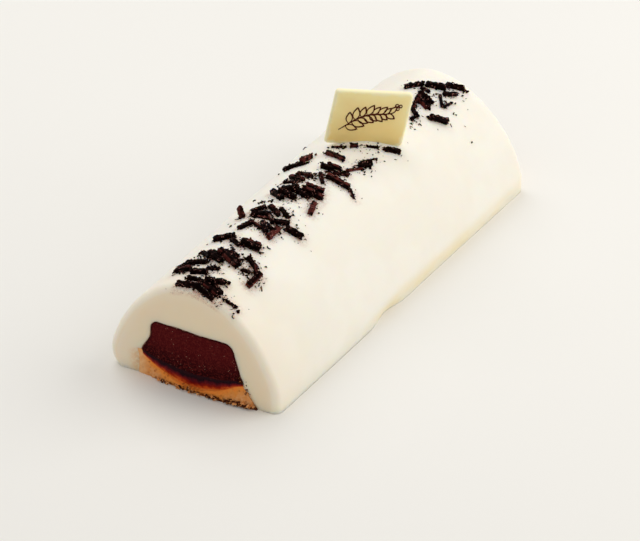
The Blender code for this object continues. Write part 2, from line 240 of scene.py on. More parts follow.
class Wiring:
    """One material while its nodes are wired."""

    def __init__(self, name: str) -> None:
        """Starts a material of this name."""
        self.made = bpy.data.materials.new(name)
        self.made.use_nodes = True
        self.tree = self.made.node_tree
        self.shader = self.tree.nodes["Principled BSDF"]
        self.place = self.tree.nodes.new("ShaderNodeTexCoord").outputs["Object"]

    def set(self, **values: object) -> None:
        """Sets sockets of the shader, named in lower case with _ for a space."""
        sockets = {s.name.lower().replace(" ", "_"): s for s in self.shader.inputs}
        for name, value in values.items():
            sockets[name].default_value = value

    def link(self, source: bpy.types.NodeSocket, target: bpy.types.NodeSocket) -> None:
        """Joins two sockets."""
        self.tree.links.new(source, target)

    def feed(self, target: bpy.types.NodeSocket, value: object) -> None:
        """Puts a number or colour, or what comes from a socket, into a socket."""
        if isinstance(value, bpy.types.NodeSocket):
            self.link(value, target)
        elif isinstance(value, tuple):
            target.default_value = (*value, 1.0)
        else:
            target.default_value = value

    def grain(
        self, wide: float, detail: float = 2.0, stretch: Rgb = (1.0, 1.0, 1.0)
    ) -> bpy.types.NodeSocket:
        """Cloudy noise.

        Args:
            wide: the width of a cloud in mm.
            detail: how many finer sizes are laid over it.
            stretch: how much closer it repeats along each axis.

        Returns:
            The socket of its value, about 0.3 to 0.7.
        """
        spread = self.tree.nodes.new("ShaderNodeMapping")
        spread.inputs["Scale"].default_value = stretch
        self.link(self.place, spread.inputs["Vector"])
        made = self.tree.nodes.new("ShaderNodeTexNoise")
        made.inputs["Scale"].default_value = 1.0 / (wide * MM)
        made.inputs["Detail"].default_value = detail
        self.link(spread.outputs["Vector"], made.inputs["Vector"])
        return made.outputs["Fac"]

    def cells(self, wide: float) -> bpy.types.NodeSocket:
        """Distance to scattered points, whose spacing is this wide in mm."""
        made = self.tree.nodes.new("ShaderNodeTexVoronoi")
        made.inputs["Scale"].default_value = 1.0 / (wide * MM)
        self.link(self.place, made.inputs["Vector"])
        return made.outputs["Distance"]

    def mark(self, name: str) -> bpy.types.NodeSocket:
        """A mark that the mesh carries at its points."""
        made = self.tree.nodes.new("ShaderNodeAttribute")
        made.attribute_name = name
        return made.outputs["Fac"]

    def rise(
        self,
        value: bpy.types.NodeSocket,
        low: float,
        high: float,
        start: float = 0.0,
        end: float = 1.0,
    ) -> bpy.types.NodeSocket:
        """A smooth step of a value.

        Args:
            value: the socket it comes from.
            low: where it begins.
            high: where it ends.
            start: what comes out below low.
            end: what comes out above high.

        Returns:
            The socket of the stepped value.
        """
        made = self.tree.nodes.new("ShaderNodeMapRange")
        made.interpolation_type = "SMOOTHSTEP"
        self.link(value, made.inputs["Value"])
        sockets = ("From Min", "From Max", "To Min", "To Max")
        for name, number in zip(sockets, (low, high, start, end)):
            made.inputs[name].default_value = number
        return made.outputs["Result"]

    def fade(
        self, value: bpy.types.NodeSocket, low: float, high: float, start: float = 1.0
    ) -> bpy.types.NodeSocket:
        """A smooth fall of a value from this start to 0."""
        return self.rise(value, low, high, start, 0.0)

    def drift(self, wide: float, low: float, high: float) -> bpy.types.NodeSocket:
        """A value that drifts from low to high, in clouds this wide in mm."""
        return self.rise(self.grain(wide), *DRIFT, low, high)

    def sum(self, first: object, second: object, work: str = "ADD") -> bpy.types.NodeSocket:
        """Two values added, or worked together in another way of the math node."""
        made = self.tree.nodes.new("ShaderNodeMath")
        made.operation = work
        self.feed(made.inputs[0], first)
        self.feed(made.inputs[1], second)
        return made.outputs["Value"]

    def times(self, first: object, second: object) -> bpy.types.NodeSocket:
        """Two values multiplied."""
        return self.sum(first, second, "MULTIPLY")

    def specks(
        self, wide: float, low: float, high: float, among: bpy.types.NodeSocket
    ) -> bpy.types.NodeSocket:
        """Round specks of cells this wide in mm, where another value lets them show."""
        return self.times(self.fade(self.cells(wide), low, high), among)

    def blend(self, share: object, first: object, second: object) -> bpy.types.NodeSocket:
        """A colour a share of the way from the first to the second."""
        made = self.tree.nodes.new("ShaderNodeMix")
        made.data_type = "RGBA"
        self.feed(made.inputs["Factor"], share)
        self.feed(made.inputs[6], first)
        self.feed(made.inputs[7], second)
        return made.outputs[2]

    def marked(
        self, name: str, among: bpy.types.NodeSocket, under: object, over: Rgb
    ) -> bpy.types.NodeSocket:
        """A colour over another where the mesh has a mark and a value lets it show."""
        return self.blend(self.times(self.mark(name), among), under, over)

    def ramp(
        self, value: bpy.types.NodeSocket, stops: Sequence[tuple[float, Rgb]]
    ) -> bpy.types.NodeSocket:
        """Colours along a value.

        Args:
            value: the socket that picks the colour.
            stops: places from 0 to 1 with their colours.

        Returns:
            The socket of the colour.
        """
        made = self.tree.nodes.new("ShaderNodeValToRGB")
        row = made.color_ramp.elements
        for i, (place, colour) in enumerate(stops):
            stop = row[i] if i < 2 else row.new(place)
            stop.position = place
            stop.color = (*colour, 1.0)
        self.link(value, made.inputs["Fac"])
        return made.outputs["Color"]

    def colour(self, value: object) -> None:
        """Colours the surface."""
        self.feed(self.shader.inputs["Base Color"], value)

    def roughness(self, wide: float, low: float, high: float) -> None:
        """Lets the roughness drift from low to high, in clouds this wide in mm."""
        cloud = self.rise(self.grain(wide), *CLOUD, low, high)
        self.feed(self.shader.inputs["Roughness"], cloud)

    def relief(self, height: bpy.types.NodeSocket, deep: float, strength: float) -> None:
        """Fine relief on top of what is wired already.

        Args:
            height: the socket of its height, 0 to 1.
            deep: the depth in mm that 0 to 1 stands for.
            strength: how much of it shows.
        """
        made = self.tree.nodes.new("ShaderNodeBump")
        made.inputs["Strength"].default_value = strength
        made.inputs["Distance"].default_value = deep * MM
        self.link(height, made.inputs["Height"])
        target = self.shader.inputs["Normal"]
        if target.links:
            self.link(target.links[0].from_socket, made.inputs["Normal"])
        self.link(made.outputs["Normal"], target)

    def soften(self, weight: float, reach: Rgb) -> None:
        """Lets light spread under the surface, as far in mm for red, green and blue."""
        self.set(subsurface_weight=weight)
        self.shader.inputs["Subsurface Radius"].default_value = reach
        self.shader.inputs["Subsurface Scale"].default_value = MM


@dataclass(frozen=True)
class IceCreamFinish:
    """White ice cream: smooth skin, a warmer cut face with painted warm shade in it, a golden foot
    of painted warm shade, a lowest edge kept pale by painted light, and chocolate dust that is also
    painted shade round the batons.
    """

    skin: Rgb = (0.887, 0.845, 0.750)
    pale: Rgb = (0.905, 0.867, 0.780)
    # the cut face's own warmer colour, with painted warm shade in it
    cut: Rgb = (0.885, 0.745, 0.545)
    # painted warm shade in the undercut at the foot
    foot: Rgb = (0.900, 0.760, 0.500)
    stain: Rgb = (0.800, 0.500, 0.260)
    # chocolate dust, and painted shade round and between the batons
    dust_and_shade: Rgb = (0.600, 0.335, 0.240)
    # painted light that keeps the lowest edge pale
    lit_kerb: Rgb = (0.990, 0.880, 0.680)
    fleck: Rgb = (0.060, 0.016, 0.014)
    rough: Place = (0.42, 0.58)
    soft: float = 0.70
    reach: Rgb = (5.5, 4.2, 2.8)

    def make(self) -> bpy.types.Material:
        """The material."""
        w = Wiring("white ice cream")
        skin = w.blend(w.rise(w.grain(26.0), 0.40, 0.62), self.skin, self.pale)
        # cut colour: the cut's own warmer colour with painted warm shade; the same mark also lays
        # painted shade near the front end and, by less of it, painted light on the left cheek
        skin = w.blend(w.mark("cut"), skin, self.cut)
        # painted warm shade on the foot, in patches
        patch = w.rise(w.grain(7.0, 3.0, (1.0, 0.35, 1.0)), 0.30, 0.62, 0.55, 1.0)
        skin = w.marked("foot", patch, skin, self.foot)
        # painted light on the lowest edge
        skin = w.blend(w.mark("lit_kerb"), skin, self.lit_kerb)
        seep = w.rise(w.grain(1.6, 3.0), 0.30, 0.60, 0.35, 1.0)
        skin = w.marked("stain", seep, skin, self.stain)
        # chocolate dust round the batons, also painted shade there
        haze = w.rise(w.grain(1.5, 3.0), 0.34, 0.64, 0.10, 0.80)
        skin = w.marked("dust_and_shade", haze, skin, self.dust_and_shade)
        fine = w.specks(0.85, 0.20, 0.36, w.rise(w.grain(1.3), 0.44, 0.56))
        w.colour(w.marked("dust_and_shade", fine, skin, self.fleck))
        w.roughness(5.0, *self.rough)
        w.set(ior=1.36)
        w.soften(self.soft, self.reach)
        w.relief(w.grain(9.0, 3.0), 0.30, 0.35)
        w.relief(w.grain(0.9), 0.05, 0.30)
        return w.made


@dataclass(frozen=True)
class InsertFinish:
    """Chocolate ice cream: fine crumb, darker at its rim, a few pale crystals."""

    low: Rgb = (0.014, 0.0004, 0.0017)
    body: Rgb = (0.066, 0.0034, 0.0050)
    light: Rgb = (0.115, 0.0130, 0.0110)
    rim: Rgb = (0.028, 0.0012, 0.0022)
    smear: Rgb = (0.30, 0.15, 0.10)
    crystal: Rgb = (0.48, 0.28, 0.20)
    shine: Rgb = (1.0, 0.45, 0.45)

    def make(self) -> bpy.types.Material:
        """The material."""
        w = Wiring("chocolate ice cream")
        deep = w.blend(w.rise(w.mark("high"), 0.0, 0.62), self.low, self.body)
        body = w.blend(w.rise(w.grain(0.7, 3.0), 0.40, 0.70, 0.0, 0.8), deep, self.light)
        inward = w.sum(w.mark("rim"), w.drift(2.2, -0.35, 0.35))
        body = w.blend(w.fade(inward, 0.45, 1.6), body, self.rim)
        body = w.blend(w.fade(inward, 0.0, 0.45, 0.75), body, self.smear)
        speck = w.specks(0.85, 0.10, 0.24, w.rise(w.grain(1.9, 0.0), 0.62, 0.70))
        w.colour(w.blend(speck, body, self.crystal))
        w.set(roughness=0.75, ior=1.4, specular_ior_level=0.06)
        w.set(specular_tint=(*self.shine, 1.0))
        w.relief(w.grain(0.6, 3.0), 0.20, 0.6)
        w.relief(w.cells(0.5), 0.10, 0.4)
        return w.made


@dataclass(frozen=True)
class SauceFinish:
    """Chocolate sauce that thins from near black to amber at its lower edge."""

    stops: tuple[tuple[float, Rgb], ...] = (
        (0.00, (0.022, 0.0008, 0.0035)),
        (0.26, (0.010, 0.0003, 0.0032)),
        (0.46, (0.078, 0.0014, 0.0065)),
        (0.74, (0.260, 0.0130, 0.0065)),
        (1.00, (0.680, 0.1250, 0.0200)),
    )

    def make(self) -> bpy.types.Material:
        """The material."""
        w = Wiring("chocolate sauce")
        w.colour(w.ramp(w.sum(w.mark("depth"), w.drift(3.0, -0.10, 0.10)), self.stops))
        w.set(ior=1.45, specular_ior_level=0.08)
        w.roughness(1.4, 0.24, 0.40)
        w.relief(w.grain(1.6), 0.10, 0.3)
        return w.made


@dataclass(frozen=True)
class SpongeFinish:
    """Sponge: golden open crumb, soaked below the sauce, browned underneath, with painted shade in
    its pores.
    """

    soaked: Rgb = (0.850, 0.255, 0.042)
    amber: Rgb = (0.790, 0.280, 0.055)
    crumb: Rgb = (0.735, 0.295, 0.085)
    pale: Rgb = (0.770, 0.375, 0.150)
    pore_shade: Rgb = (0.380, 0.095, 0.022)
    browned: Rgb = (0.066, 0.013, 0.004)
    creamy: Rgb = (0.860, 0.510, 0.250)
    shine: Rgb = (1.0, 0.60, 0.35)

    def make(self) -> bpy.types.Material:
        """The material."""
        w = Wiring("sponge")
        crumb = w.blend(w.rise(w.grain(1.6, 3.0), 0.38, 0.64), self.crumb, self.pale)
        under = w.sum(w.mark("under"), w.drift(2.5, -0.7, 0.7))
        crumb = w.blend(w.fade(under, 1.2, 5.0), crumb, self.amber)
        crumb = w.blend(w.fade(under, 0.0, 1.5), crumb, self.soaked)
        # painted shade in the pores of the crumb
        pore_shade_specks = w.specks(2.0, 0.12, 0.42, w.rise(w.grain(4.0), 0.38, 0.58, 0.15, 0.85))
        crumb = w.blend(pore_shade_specks, crumb, self.pore_shade)
        crumb = w.marked("creamy", w.drift(2.5, 0.6, 1.1), crumb, self.creamy)
        scorched = w.rise(w.grain(1.3, 3.0), 0.32, 0.54)
        w.colour(w.marked("scorch", scorched, crumb, self.browned))
        w.set(roughness=0.80, ior=1.4, specular_ior_level=0.15)
        w.set(specular_tint=(*self.shine, 1.0))
        w.relief(w.cells(1.3), 0.30, 0.6)
        w.relief(w.grain(0.5, 3.0), 0.16, 0.6)
        return w.made


@dataclass(frozen=True)
class DarkChocolateFinish:
    """Dark chocolate: near black with a brown bloom where it is rubbed, and pale specks that are
    frost and painted glints.
    """

    name: str = "dark chocolate"
    body: Rgb = (0.0010, 0.0001, 0.0002)
    bloom: Rgb = (0.098, 0.021, 0.017)
    frost_and_glint: Rgb = (0.420, 0.190, 0.155)
    shine: Rgb = (1.0, 0.36, 0.24)
    rough: float = 0.40
    gloss: float = 0.04

    def make(self) -> bpy.types.Material:
        """The material."""
        w = Wiring(self.name)
        rubbed = w.sum(w.mark("tone"), w.rise(w.grain(1.8, 3.0), 0.46, 0.70, 0.0, 0.22))
        dark = w.blend(w.rise(rubbed, 0.0, 1.0), self.body, self.bloom)
        # pale specks: frost, and painted glints
        speck = w.specks(0.9, 0.20, 0.38, w.rise(w.grain(2.0, 1.0), 0.53, 0.60, 0.0, 0.85))
        w.colour(w.blend(speck, dark, self.frost_and_glint))
        w.roughness(1.2, self.rough, self.rough + 0.25)
        w.set(ior=1.45, specular_ior_level=self.gloss, specular_tint=(*self.shine, 1.0))
        w.relief(w.grain(0.8, 3.0), 0.16, 0.6)
        return w.made


@dataclass(frozen=True)
class WhiteChocolateFinish:
    """White chocolate: pale yellow, with painted light that makes it lighter towards the top and
    paler near and at its rims, where the slab is also thin.
    """

    body: Rgb = (0.930, 0.700, 0.250)
    # the next three are painted light: towards the top, near the upper rims, and on the rims
    high: Rgb = (0.930, 0.740, 0.330)
    near: Rgb = (0.990, 0.850, 0.420)
    rim: Rgb = (0.980, 0.900, 0.620)

    def make(self) -> bpy.types.Material:
        """The material."""
        w = Wiring("white chocolate")
        # painted light: lighter towards the top
        body = w.blend(w.mark("high"), self.body, self.high)
        body = w.blend(w.rise(w.grain(9.0), *CLOUD, 0.0, 0.15), body, self.high)
        # painted light near the rims, in the upper part of the face
        inward = w.sum(w.mark("inward"), w.drift(5.0, -0.6, 0.6))
        near = w.times(w.fade(inward, 0.5, 10.0), w.mark("high"))
        body = w.blend(near, body, self.near)
        # painted light on the rims, where the thin slab also lets light through
        w.colour(w.blend(w.fade(inward, 0.3, 2.4, 0.85), body, self.rim))
        w.roughness(3.0, 0.34, 0.46)
        w.set(ior=1.45, specular_ior_level=0.4)
        w.soften(0.30, (2.4, 1.8, 0.9))
        w.relief(w.grain(4.0), 0.10, 0.25)
        return w.made


@dataclass(frozen=True)
class FloorFinish:
    """Plain pale tabletop."""

    near: Rgb = (0.846, 0.832, 0.796)
    far: Rgb = (0.852, 0.838, 0.802)

    def make(self) -> bpy.types.Material:
        """The material."""
        w = Wiring("pale floor")
        w.colour(w.blend(w.rise(w.grain(400.0), *CLOUD), self.near, self.far))
        w.set(roughness=0.55, specular_ior_level=0.3)
        return w.made


# --------------------------------------------------------------------------
# The log


@dataclass(frozen=True)
class LogShape:
    """Outside of the log, and where things lie on it."""

    length: float = 240.0
    width_front: float = 92.4
    width_back: float = 100.0
    height_front: float = 55.7
    height_back: float = 56.1
    foot_height: float = 8.9
    across_power: float = 1.90
    up_power: float = 1.40
    left_tuck: float = 5.1
    round_front: float = 4.0
    round_back: float = 5.1
    flare: float = 1.0
    flare_fade: float = 14.0
    pinch_y: float = -17.0
    pinch_depth: float = 3.6
    pinch_length: float = 9.0
    roof: float = 0.84
    # from where to where along the log the roof gets barer of dust and crumbs
    barer: Place = (-8.0, 8.0)
    waves: tuple[Place, ...] = ((0.40, 30.0), (0.16, 11.0))
    ripples: tuple[Place, ...] = ((0.035, 4.5), (0.012, 1.6))

    @property
    def end(self) -> float:
        """Half the length."""
        return self.length / 2

    def along(self, y: float) -> float:
        """How far y is from the front end to the back end, 0 to 1."""
        return (y + self.end) / self.length

    def half_width(self, y: float) -> float:
        """Half the width at y."""
        return between(self.width_front, self.width_back, self.along(y)) / 2

    def height(self, y: float) -> float:
        """Height of the ridge at y."""
        return between(self.height_front, self.height_back, self.along(y))

    def foot_tuck(self, y: float, side: float) -> float:
        """How far the foot is drawn in under the side, at the floor."""
        if side < 0:
            return self.left_tuck
        pinch = self.pinch_depth * math.exp(-(((y - self.pinch_y) / self.pinch_length) ** 2))
        flare = self.flare / (1 + math.exp((y - self.pinch_y) / self.flare_fade))
        return pinch - flare + 0.4

    def section(self, y: float, u: float) -> Place:
        """Plain section: u is 0 on the ridge and 1 or -1 on the floor at each side."""
        side, share = (-1.0 if u < 0 else 1.0), abs(u)
        half, top = self.half_width(y), self.height(y)
        if share <= self.roof:
            turn = math.radians(90 * (1 - share / self.roof))
            x = half * math.cos(turn) ** (2 / self.across_power)
            rise = max(math.sin(turn), 0.0) ** (2 / self.up_power)
            z = self.foot_height + (top - self.foot_height) * rise
        else:
            turn = math.radians(90 * (1 - (share - self.roof) / (1 - self.roof)))
            x = half - self.foot_tuck(y, side) * (1 - math.sin(turn))
            z = self.foot_height * (1 - math.cos(turn))
        return side * x, z

    def normal(self, y: float, u: float) -> Place:
        """Outward direction across the section."""
        ax, az = self.section(y, max(u - 0.004, -1.0))
        bx, bz = self.section(y, min(u + 0.004, 1.0))
        run = math.hypot(bx - ax, bz - az)
        return (az - bz) / run, (bx - ax) / run

    def inset(self, y: float) -> float:
        """How far the outside is drawn in at the rounded rims of the ends."""
        found = 0.0
        for distance, radius in ((y + self.end, self.round_front), (self.end - y, self.round_back)):
            if distance < radius:
                found = radius - math.sqrt(max(radius**2 - (radius - distance) ** 2, 0.0))
        return found

    def outside(self, y: float, u: float, fine: bool = False) -> Vector:
        """A point of the outside with its waves, and with the finer ripples if asked."""
        x, z = self.section(y, u)
        nx, nz = self.normal(y, u)
        here = Vector((x, y, z))
        sizes = self.waves + self.ripples if fine else self.waves
        move = uneven(here, sizes) * min(z / 3, 1.0)
        shrink = self.inset(y)
        x = (x + nx * move) * (1 - shrink / self.half_width(y))
        return Vector((x, y, (z + nz * move) * (1 - shrink / self.height(y))))

    def share(self, y: float, x: float) -> float:
        """The u at which the roof is x from the middle."""
        turn = math.acos(min(abs(x) / self.half_width(y), 1.0) ** (self.across_power / 2))
        found = self.roof * (1 - math.degrees(turn) / 90)
        return -found if x < 0 else found

    def seat(self, y: float, x: float) -> tuple[Vector, Vector, Vector, Vector]:
        """Where something lies on the roof.

        Args:
            y: its place along the log.
            x: its place across the log.

        Returns:
            The point, and the directions across, along and outwards.
        """
        u = self.share(y, x)
        y = max(min(y, self.end - 0.5), -self.end + 0.5)
        here = self.outside(y, u)
        across = (self.outside(y, u + 0.01) - self.outside(y, u - 0.01)).normalized()
        ahead = self.outside(min(y + 1, self.end), u) - self.outside(max(y - 1, -self.end), u)
        out = across.cross(ahead.normalized()).normalized()
        return here, across, out.cross(across).normalized(), out

    def stations(self, step: float, turns: int) -> list[float]:
        """Places along the log, this far apart, with so many on each rounded rim."""
        angles = [90 * i / turns for i in range(turns + 1)]
        front = [-self.end + self.round_front * (1 - math.cos(math.radians(a))) for a in angles]
        back = [self.end - self.round_back * (1 - math.cos(math.radians(a))) for a in angles]
        count = round((back[-1] - front[-1]) / step)
        middle = [between(front[-1], back[-1], i / count) for i in range(1, count)]
        return front + middle + back[::-1]


@dataclass(frozen=True)
class Inside:
    """Sections of the layers that run through the log."""

    low_half: float = 27.3
    low_z: float = 12.8
    high_half: float = 23.1
    high_z: float = 26.4
    top_z: float = 31.2
    sag_z: float = 8.5
    sag: float = 0.0060
    sauce_half: float = 27.0
    sauce_low: float = 1.6
    sauce_curve: float = 0.0125
    sponge_left: float = -29.5
    sponge_right: float = 35.6
    sponge_right_top: float = 27.3
    sponge_left_top: float = 13.0
    bulge: float = 3.2
    bulge_x: float = 7.0
    bulge_width: float = 74.0
    bulge_height: float = 5.0
    overlap: float = 0.05
    wobble: tuple[Place, ...] = ((0.50, 9.0), (0.16, 3.6))
    # x, z, reach, and push in x and z of single dents in the sections
    dents: tuple[tuple[float, float, float, float, float], ...] = (
        (-25.0, 22.5, 4.0, 0.9, 0.0),
        (-28.0, 14.0, 2.6, -0.8, 0.3),
        (24.5, 27.5, 4.5, 0.3, -0.9),
        (-21.0, 31.0, 4.0, 0.5, 0.4),
        (27.5, 11.5, 2.6, 0.5, -0.5),
    )

    def worked(self, x: float, z: float) -> Place:
        """A place in the section, moved a little as hand-filled layers are."""
        calm = ease(0.0, 4.0, z)
        here = Vector((x, 7.0, z))
        dx = uneven(here, self.wobble)
        dz = uneven(here + Vector((31.0, 0.0, 17.0)), self.wobble)
        for cx, cz, reach, push_x, push_z in self.dents:
            near = math.exp(-((x - cx) ** 2 + (z - cz) ** 2) / reach**2)
            dx, dz = dx + push_x * near, dz + push_z * near
        return x + dx * calm, z + dz * calm

    def insert_half(self, z: float) -> float:
        """Half the width of the insert at this height."""
        if z <= self.high_z:
            share = (z - self.low_z) / (self.high_z - self.low_z)
            return between(self.low_half, self.high_half, max(share, 0.0))
        radius = self.top_z - self.high_z
        rise = min((z - self.high_z) / radius, 1.0)
        return self.high_half - radius * (1 - math.sqrt(1 - rise**2))

    def insert_bottom(self, x: float) -> float:
        """Underside of the insert."""
        return self.sag_z + self.sag * x**2

    def sauce_bottom(self, x: float) -> float:
        """Underside of the sauce."""
        return self.sauce_low + self.sauce_curve * x**2

    def swell(self, x: float, z: float) -> float:
        """How far the sponge swells out of a cut face here."""
        wide = math.cos(math.pi * (x - self.bulge_x) / self.bulge_width)
        return max(wide, 0.0) * self.bulge * math.exp(-((z / self.bulge_height) ** 2))

    def hollow(self, count: int) -> list[Place]:
        """Evenly spaced points round the room in the ice cream.

        Args:
            count: how many steps there are from floor to floor.

        Returns:
            Pairs of x and z from the left floor over the insert to the right floor.
        """
        side = []
        for i in range(13):
            z = self.high_z + (self.top_z - self.high_z) * math.sin(math.radians(90 * i / 12))
            side.append((self.insert_half(z) - self.overlap, z - self.overlap))
        path = [(self.sponge_left, 0.0), (self.sponge_left, self.sponge_left_top)]
        path.append((-self.insert_half(self.sponge_left_top), self.sponge_left_top))
        path += [(-x, z) for x, z in side] + side[::-1]
        path.append((self.low_half - self.overlap, self.low_z))
        path.append((self.sponge_right_top, self.sauce_bottom(self.sauce_half)))
        path.append((self.sponge_right, 0.0))
        runs = [math.dist(a, b) for a, b in zip(path, path[1:])]
        found, total = [path[0]], sum(runs)
        for i in range(1, count):
            rest, k = total * i / count, 0
            while rest > runs[k]:
                rest, k = rest - runs[k], k + 1
            found.append(partway(path[k], path[k + 1], rest / runs[k]))
        return [self.worked(x, z) for x, z in [*found, path[-1]]]


@dataclass
class IceCreamLog:
    """The white ice cream with the room for its layers."""

    shape: LogShape
    inside: Inside
    finish: IceCreamFinish = IceCreamFinish()
    steps: int = 170
    bands: int = 22
    station_step: float = 1.9
    rim_turns: int = 9
    relief: tuple[Place, ...] = ((0.16, 9.0), (0.06, 2.6), (0.025, 0.9))
    # the painted warm shade on the foot: its top, where it begins round the pinch, how low and
    # weak it is before that, and where it fades again
    foot_top: float = 11.5
    foot_begins: Place = (-30.0, 12.0)
    foot_low: float = 0.55
    foot_weak: float = 0.35
    foot_fades: Place = (30.0, 110.0)
    # how far the layers stain the cut face, the share of that above a height, and the
    # reach low on the left; then how strongly, and the heights over which that drops
    stain_reach: float = 2.4
    stain_above: Place = (11.5, 0.45)
    left_reach: float = 7.5
    left_fades: Place = (11.0, 15.0)
    stain_weights: Place = (0.95, 0.40)
    stain_fades: Place = (9.0, 14.0)
    # chocolate dust, with painted shade round the batons: how high it begins, how far from
    # the middle of a baton it is looked for, its weight and reach, and its share on the barer part
    # of the roof
    dust_and_shade_from: float = 40.0
    dust_and_shade_window: float = 12.0
    dust_and_shade_weight: float = 0.50
    dust_and_shade_reach: float = 4.4
    dust_and_shade_behind: float = 0.30
    # painted shade: a share of the cut colour on the roof near the front end, and where it ends
    front_shade: float = 0.30
    front_shade_end: float = -72.0
    # how much of the cut colour the rim and the left cheek have, the cheek's smaller share being
    # painted light, and where the cheek is
    rim_cut: float = 0.8
    lit_left_cut: float = 0.70
    lit_left_cheek: Place = (-44.0, -24.0)
    # how much painted light keeps the lowest edge pale against the dark line at the floor, and the
    # heights over which that fades
    lit_kerb: float = 0.85
    lit_kerb_heights: Place = (0.3, 1.8)
    batons: Sequence["Laid"] = ()

    def dusting(self, here: Vector) -> float:
        """How much fine chocolate dust, with painted shade, lies here, 0 to 1."""
        if here.z < self.dust_and_shade_from:
            return 0.0
        found = 0.0
        for stick in self.batons:
            if max(abs(here.y - stick.y), abs(here.x - stick.x)) < self.dust_and_shade_window:
                ahead, aside = stick.own(here.x - stick.x, here.y - stick.y)
                ahead, aside = abs(ahead) - stick.length / 2, abs(aside) - stick.thick / 2
                away = math.hypot(max(ahead, 0.0), max(aside, 0.0))
                found += self.dust_and_shade_weight * (1 - ease(0.0, self.dust_and_shade_reach, away))
        return min(found, 1.0) * between(1.0, self.dust_and_shade_behind, ease(*self.shape.barer, here.y))

    def band(self, k: int) -> float:
        """The share of the way inwards of one band, closer together near the layers."""
        return 1 - (1 - k / self.bands) ** 1.8

    def stained(self, here: Vector, edge: Vector) -> float:
        """How much the layer next to it has coloured the cut face here."""
        high, share = self.stain_above
        reach = self.stain_reach * (1.0 if edge.z < high else share)
        if edge.x < 0:
            reach = between(self.left_reach, reach, ease(*self.left_fades, edge.z))
        near = 1 - ease(0.0, reach, (here - edge).length)
        return near * between(*self.stain_weights, ease(*self.stain_fades, edge.z))

    def foot_shade_mark(self, y: float, u: float, z: float) -> float:
        """How much painted warm shade the foot gets here: most on the right, behind the pinch."""
        if u <= 0 or z > self.foot_top:
            return 0.0
        start, full = (self.shape.pinch_y + step for step in self.foot_begins)
        behind = ease(start, full, y)
        edge = self.foot_top * between(self.foot_low, 1.0, behind)
        beyond = 1 - self.foot_weak * ease(*self.foot_fades, y)
        return (1 - ease(edge * 0.15, edge, z)) * between(self.foot_weak, 1.0, behind) * beyond

    def ring(self, shell: Shell, y: float, end: float) -> tuple[list[int], ...]:
        """One closed ring of points.

        Args:
            shell: what the points go into.
            y: its place along the log.
            end: 1 on a cut face, 0 between.

        Returns:
            The rows outside, along the right floor, inside and along the left floor.
        """
        outer = []
        # painted shade: a share of the cut colour on the roof near the front end
        rim = self.front_shade * (1 - ease(-self.shape.end, self.front_shade_end, y))
        if y < 0:
            inset = self.shape.inset(y) / self.shape.round_front
            rim = max(rim, self.rim_cut * inset**2)
        for i in range(self.steps + 1):
            u = -1 + 2 * i / self.steps
            here = self.shape.outside(y, u, fine=True)
            # the cut mark also lays painted shade near the front end; the foot mark is painted warm
            # shade, the lowest-edge mark painted light, and the dust mark partly painted shade
            # round the batons
            marks = {
                "cut": max(self.rim_cut * end, rim),
                "foot": self.foot_shade_mark(y, u, here.z),
                "lit_kerb": self.lit_kerb * (1 - ease(*self.lit_kerb_heights, here.z)),
                "dust_and_shade": self.dusting(here),
            }
            outer.append(shell.point(here, **marks))
        inner = []
        for x, z in self.inside.hollow(self.steps):
            here = Vector((x, y, z))
            inner.append(shell.point(here, cut=1.0, stain=self.stained(here, here)))
        floors = []
        for i in (-1, 0):
            a, b = shell.points[outer[i]], shell.points[inner[i]]
            shares = [self.band(k) for k in range(1, self.bands)]
            row = [shell.point(a.lerp(b, share), cut=1.0) for share in shares]
            floors.append([outer[i], *row, inner[i]])
        return outer, floors[0], inner, floors[1]

    def cut_face(self, shell: Shell, rows: tuple[list[int], ...], way: float) -> None:
        """Closes one end with a slightly uneven cut face.

        Args:
            shell: what the faces go into.
            rows: the rows of the end's ring.
            way: -1 at the front end and 1 at the back end.
        """
        outer, right, inner, left = rows
        last = outer
        for k in range(1, self.bands):
            t = self.band(k)
            row = [left[k]]
            for i in range(1, self.steps):
                edge = shell.points[inner[i]]
                here = shell.points[outer[i]].lerp(edge, t)
                stain = self.stained(here, edge)
                here.y += way * uneven(here, self.relief) * min(t * 5, (1 - t) * 6, 1.0)
                cut = between(self.rim_cut, 1.0, ease(0.0, 0.35, t))
                # painted light: less of the cut colour on the left cheek
                cut *= between(self.lit_left_cut, 1.0, ease(*self.lit_left_cheek, here.x))
                row.append(shell.point(here, cut=cut, stain=stain))
            row.append(right[k])
            shell.strip(last, row)
            last = row
        shell.strip(last, inner)

    def build(self) -> bpy.types.Object:
        """The finished piece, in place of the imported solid."""
        shell = Shell()
        stations = self.shape.stations(self.station_step, self.rim_turns)
        rings = []
        for k, y in enumerate(stations):
            rings.append(self.ring(shell, y, float(k in (0, len(stations) - 1))))
        for a, b in zip(rings, rings[1:]):
            for row_a, row_b in zip(a, b):
                shell.strip(row_a, row_b)
        self.cut_face(shell, rings[0], -1.0)
        self.cut_face(shell, rings[-1], 1.0)
        made = shell.piece("ice_cream_body", 50.0)
        dress(made, self.finish.make(), "white_ice_cream", "white_ice_cream")
        return made


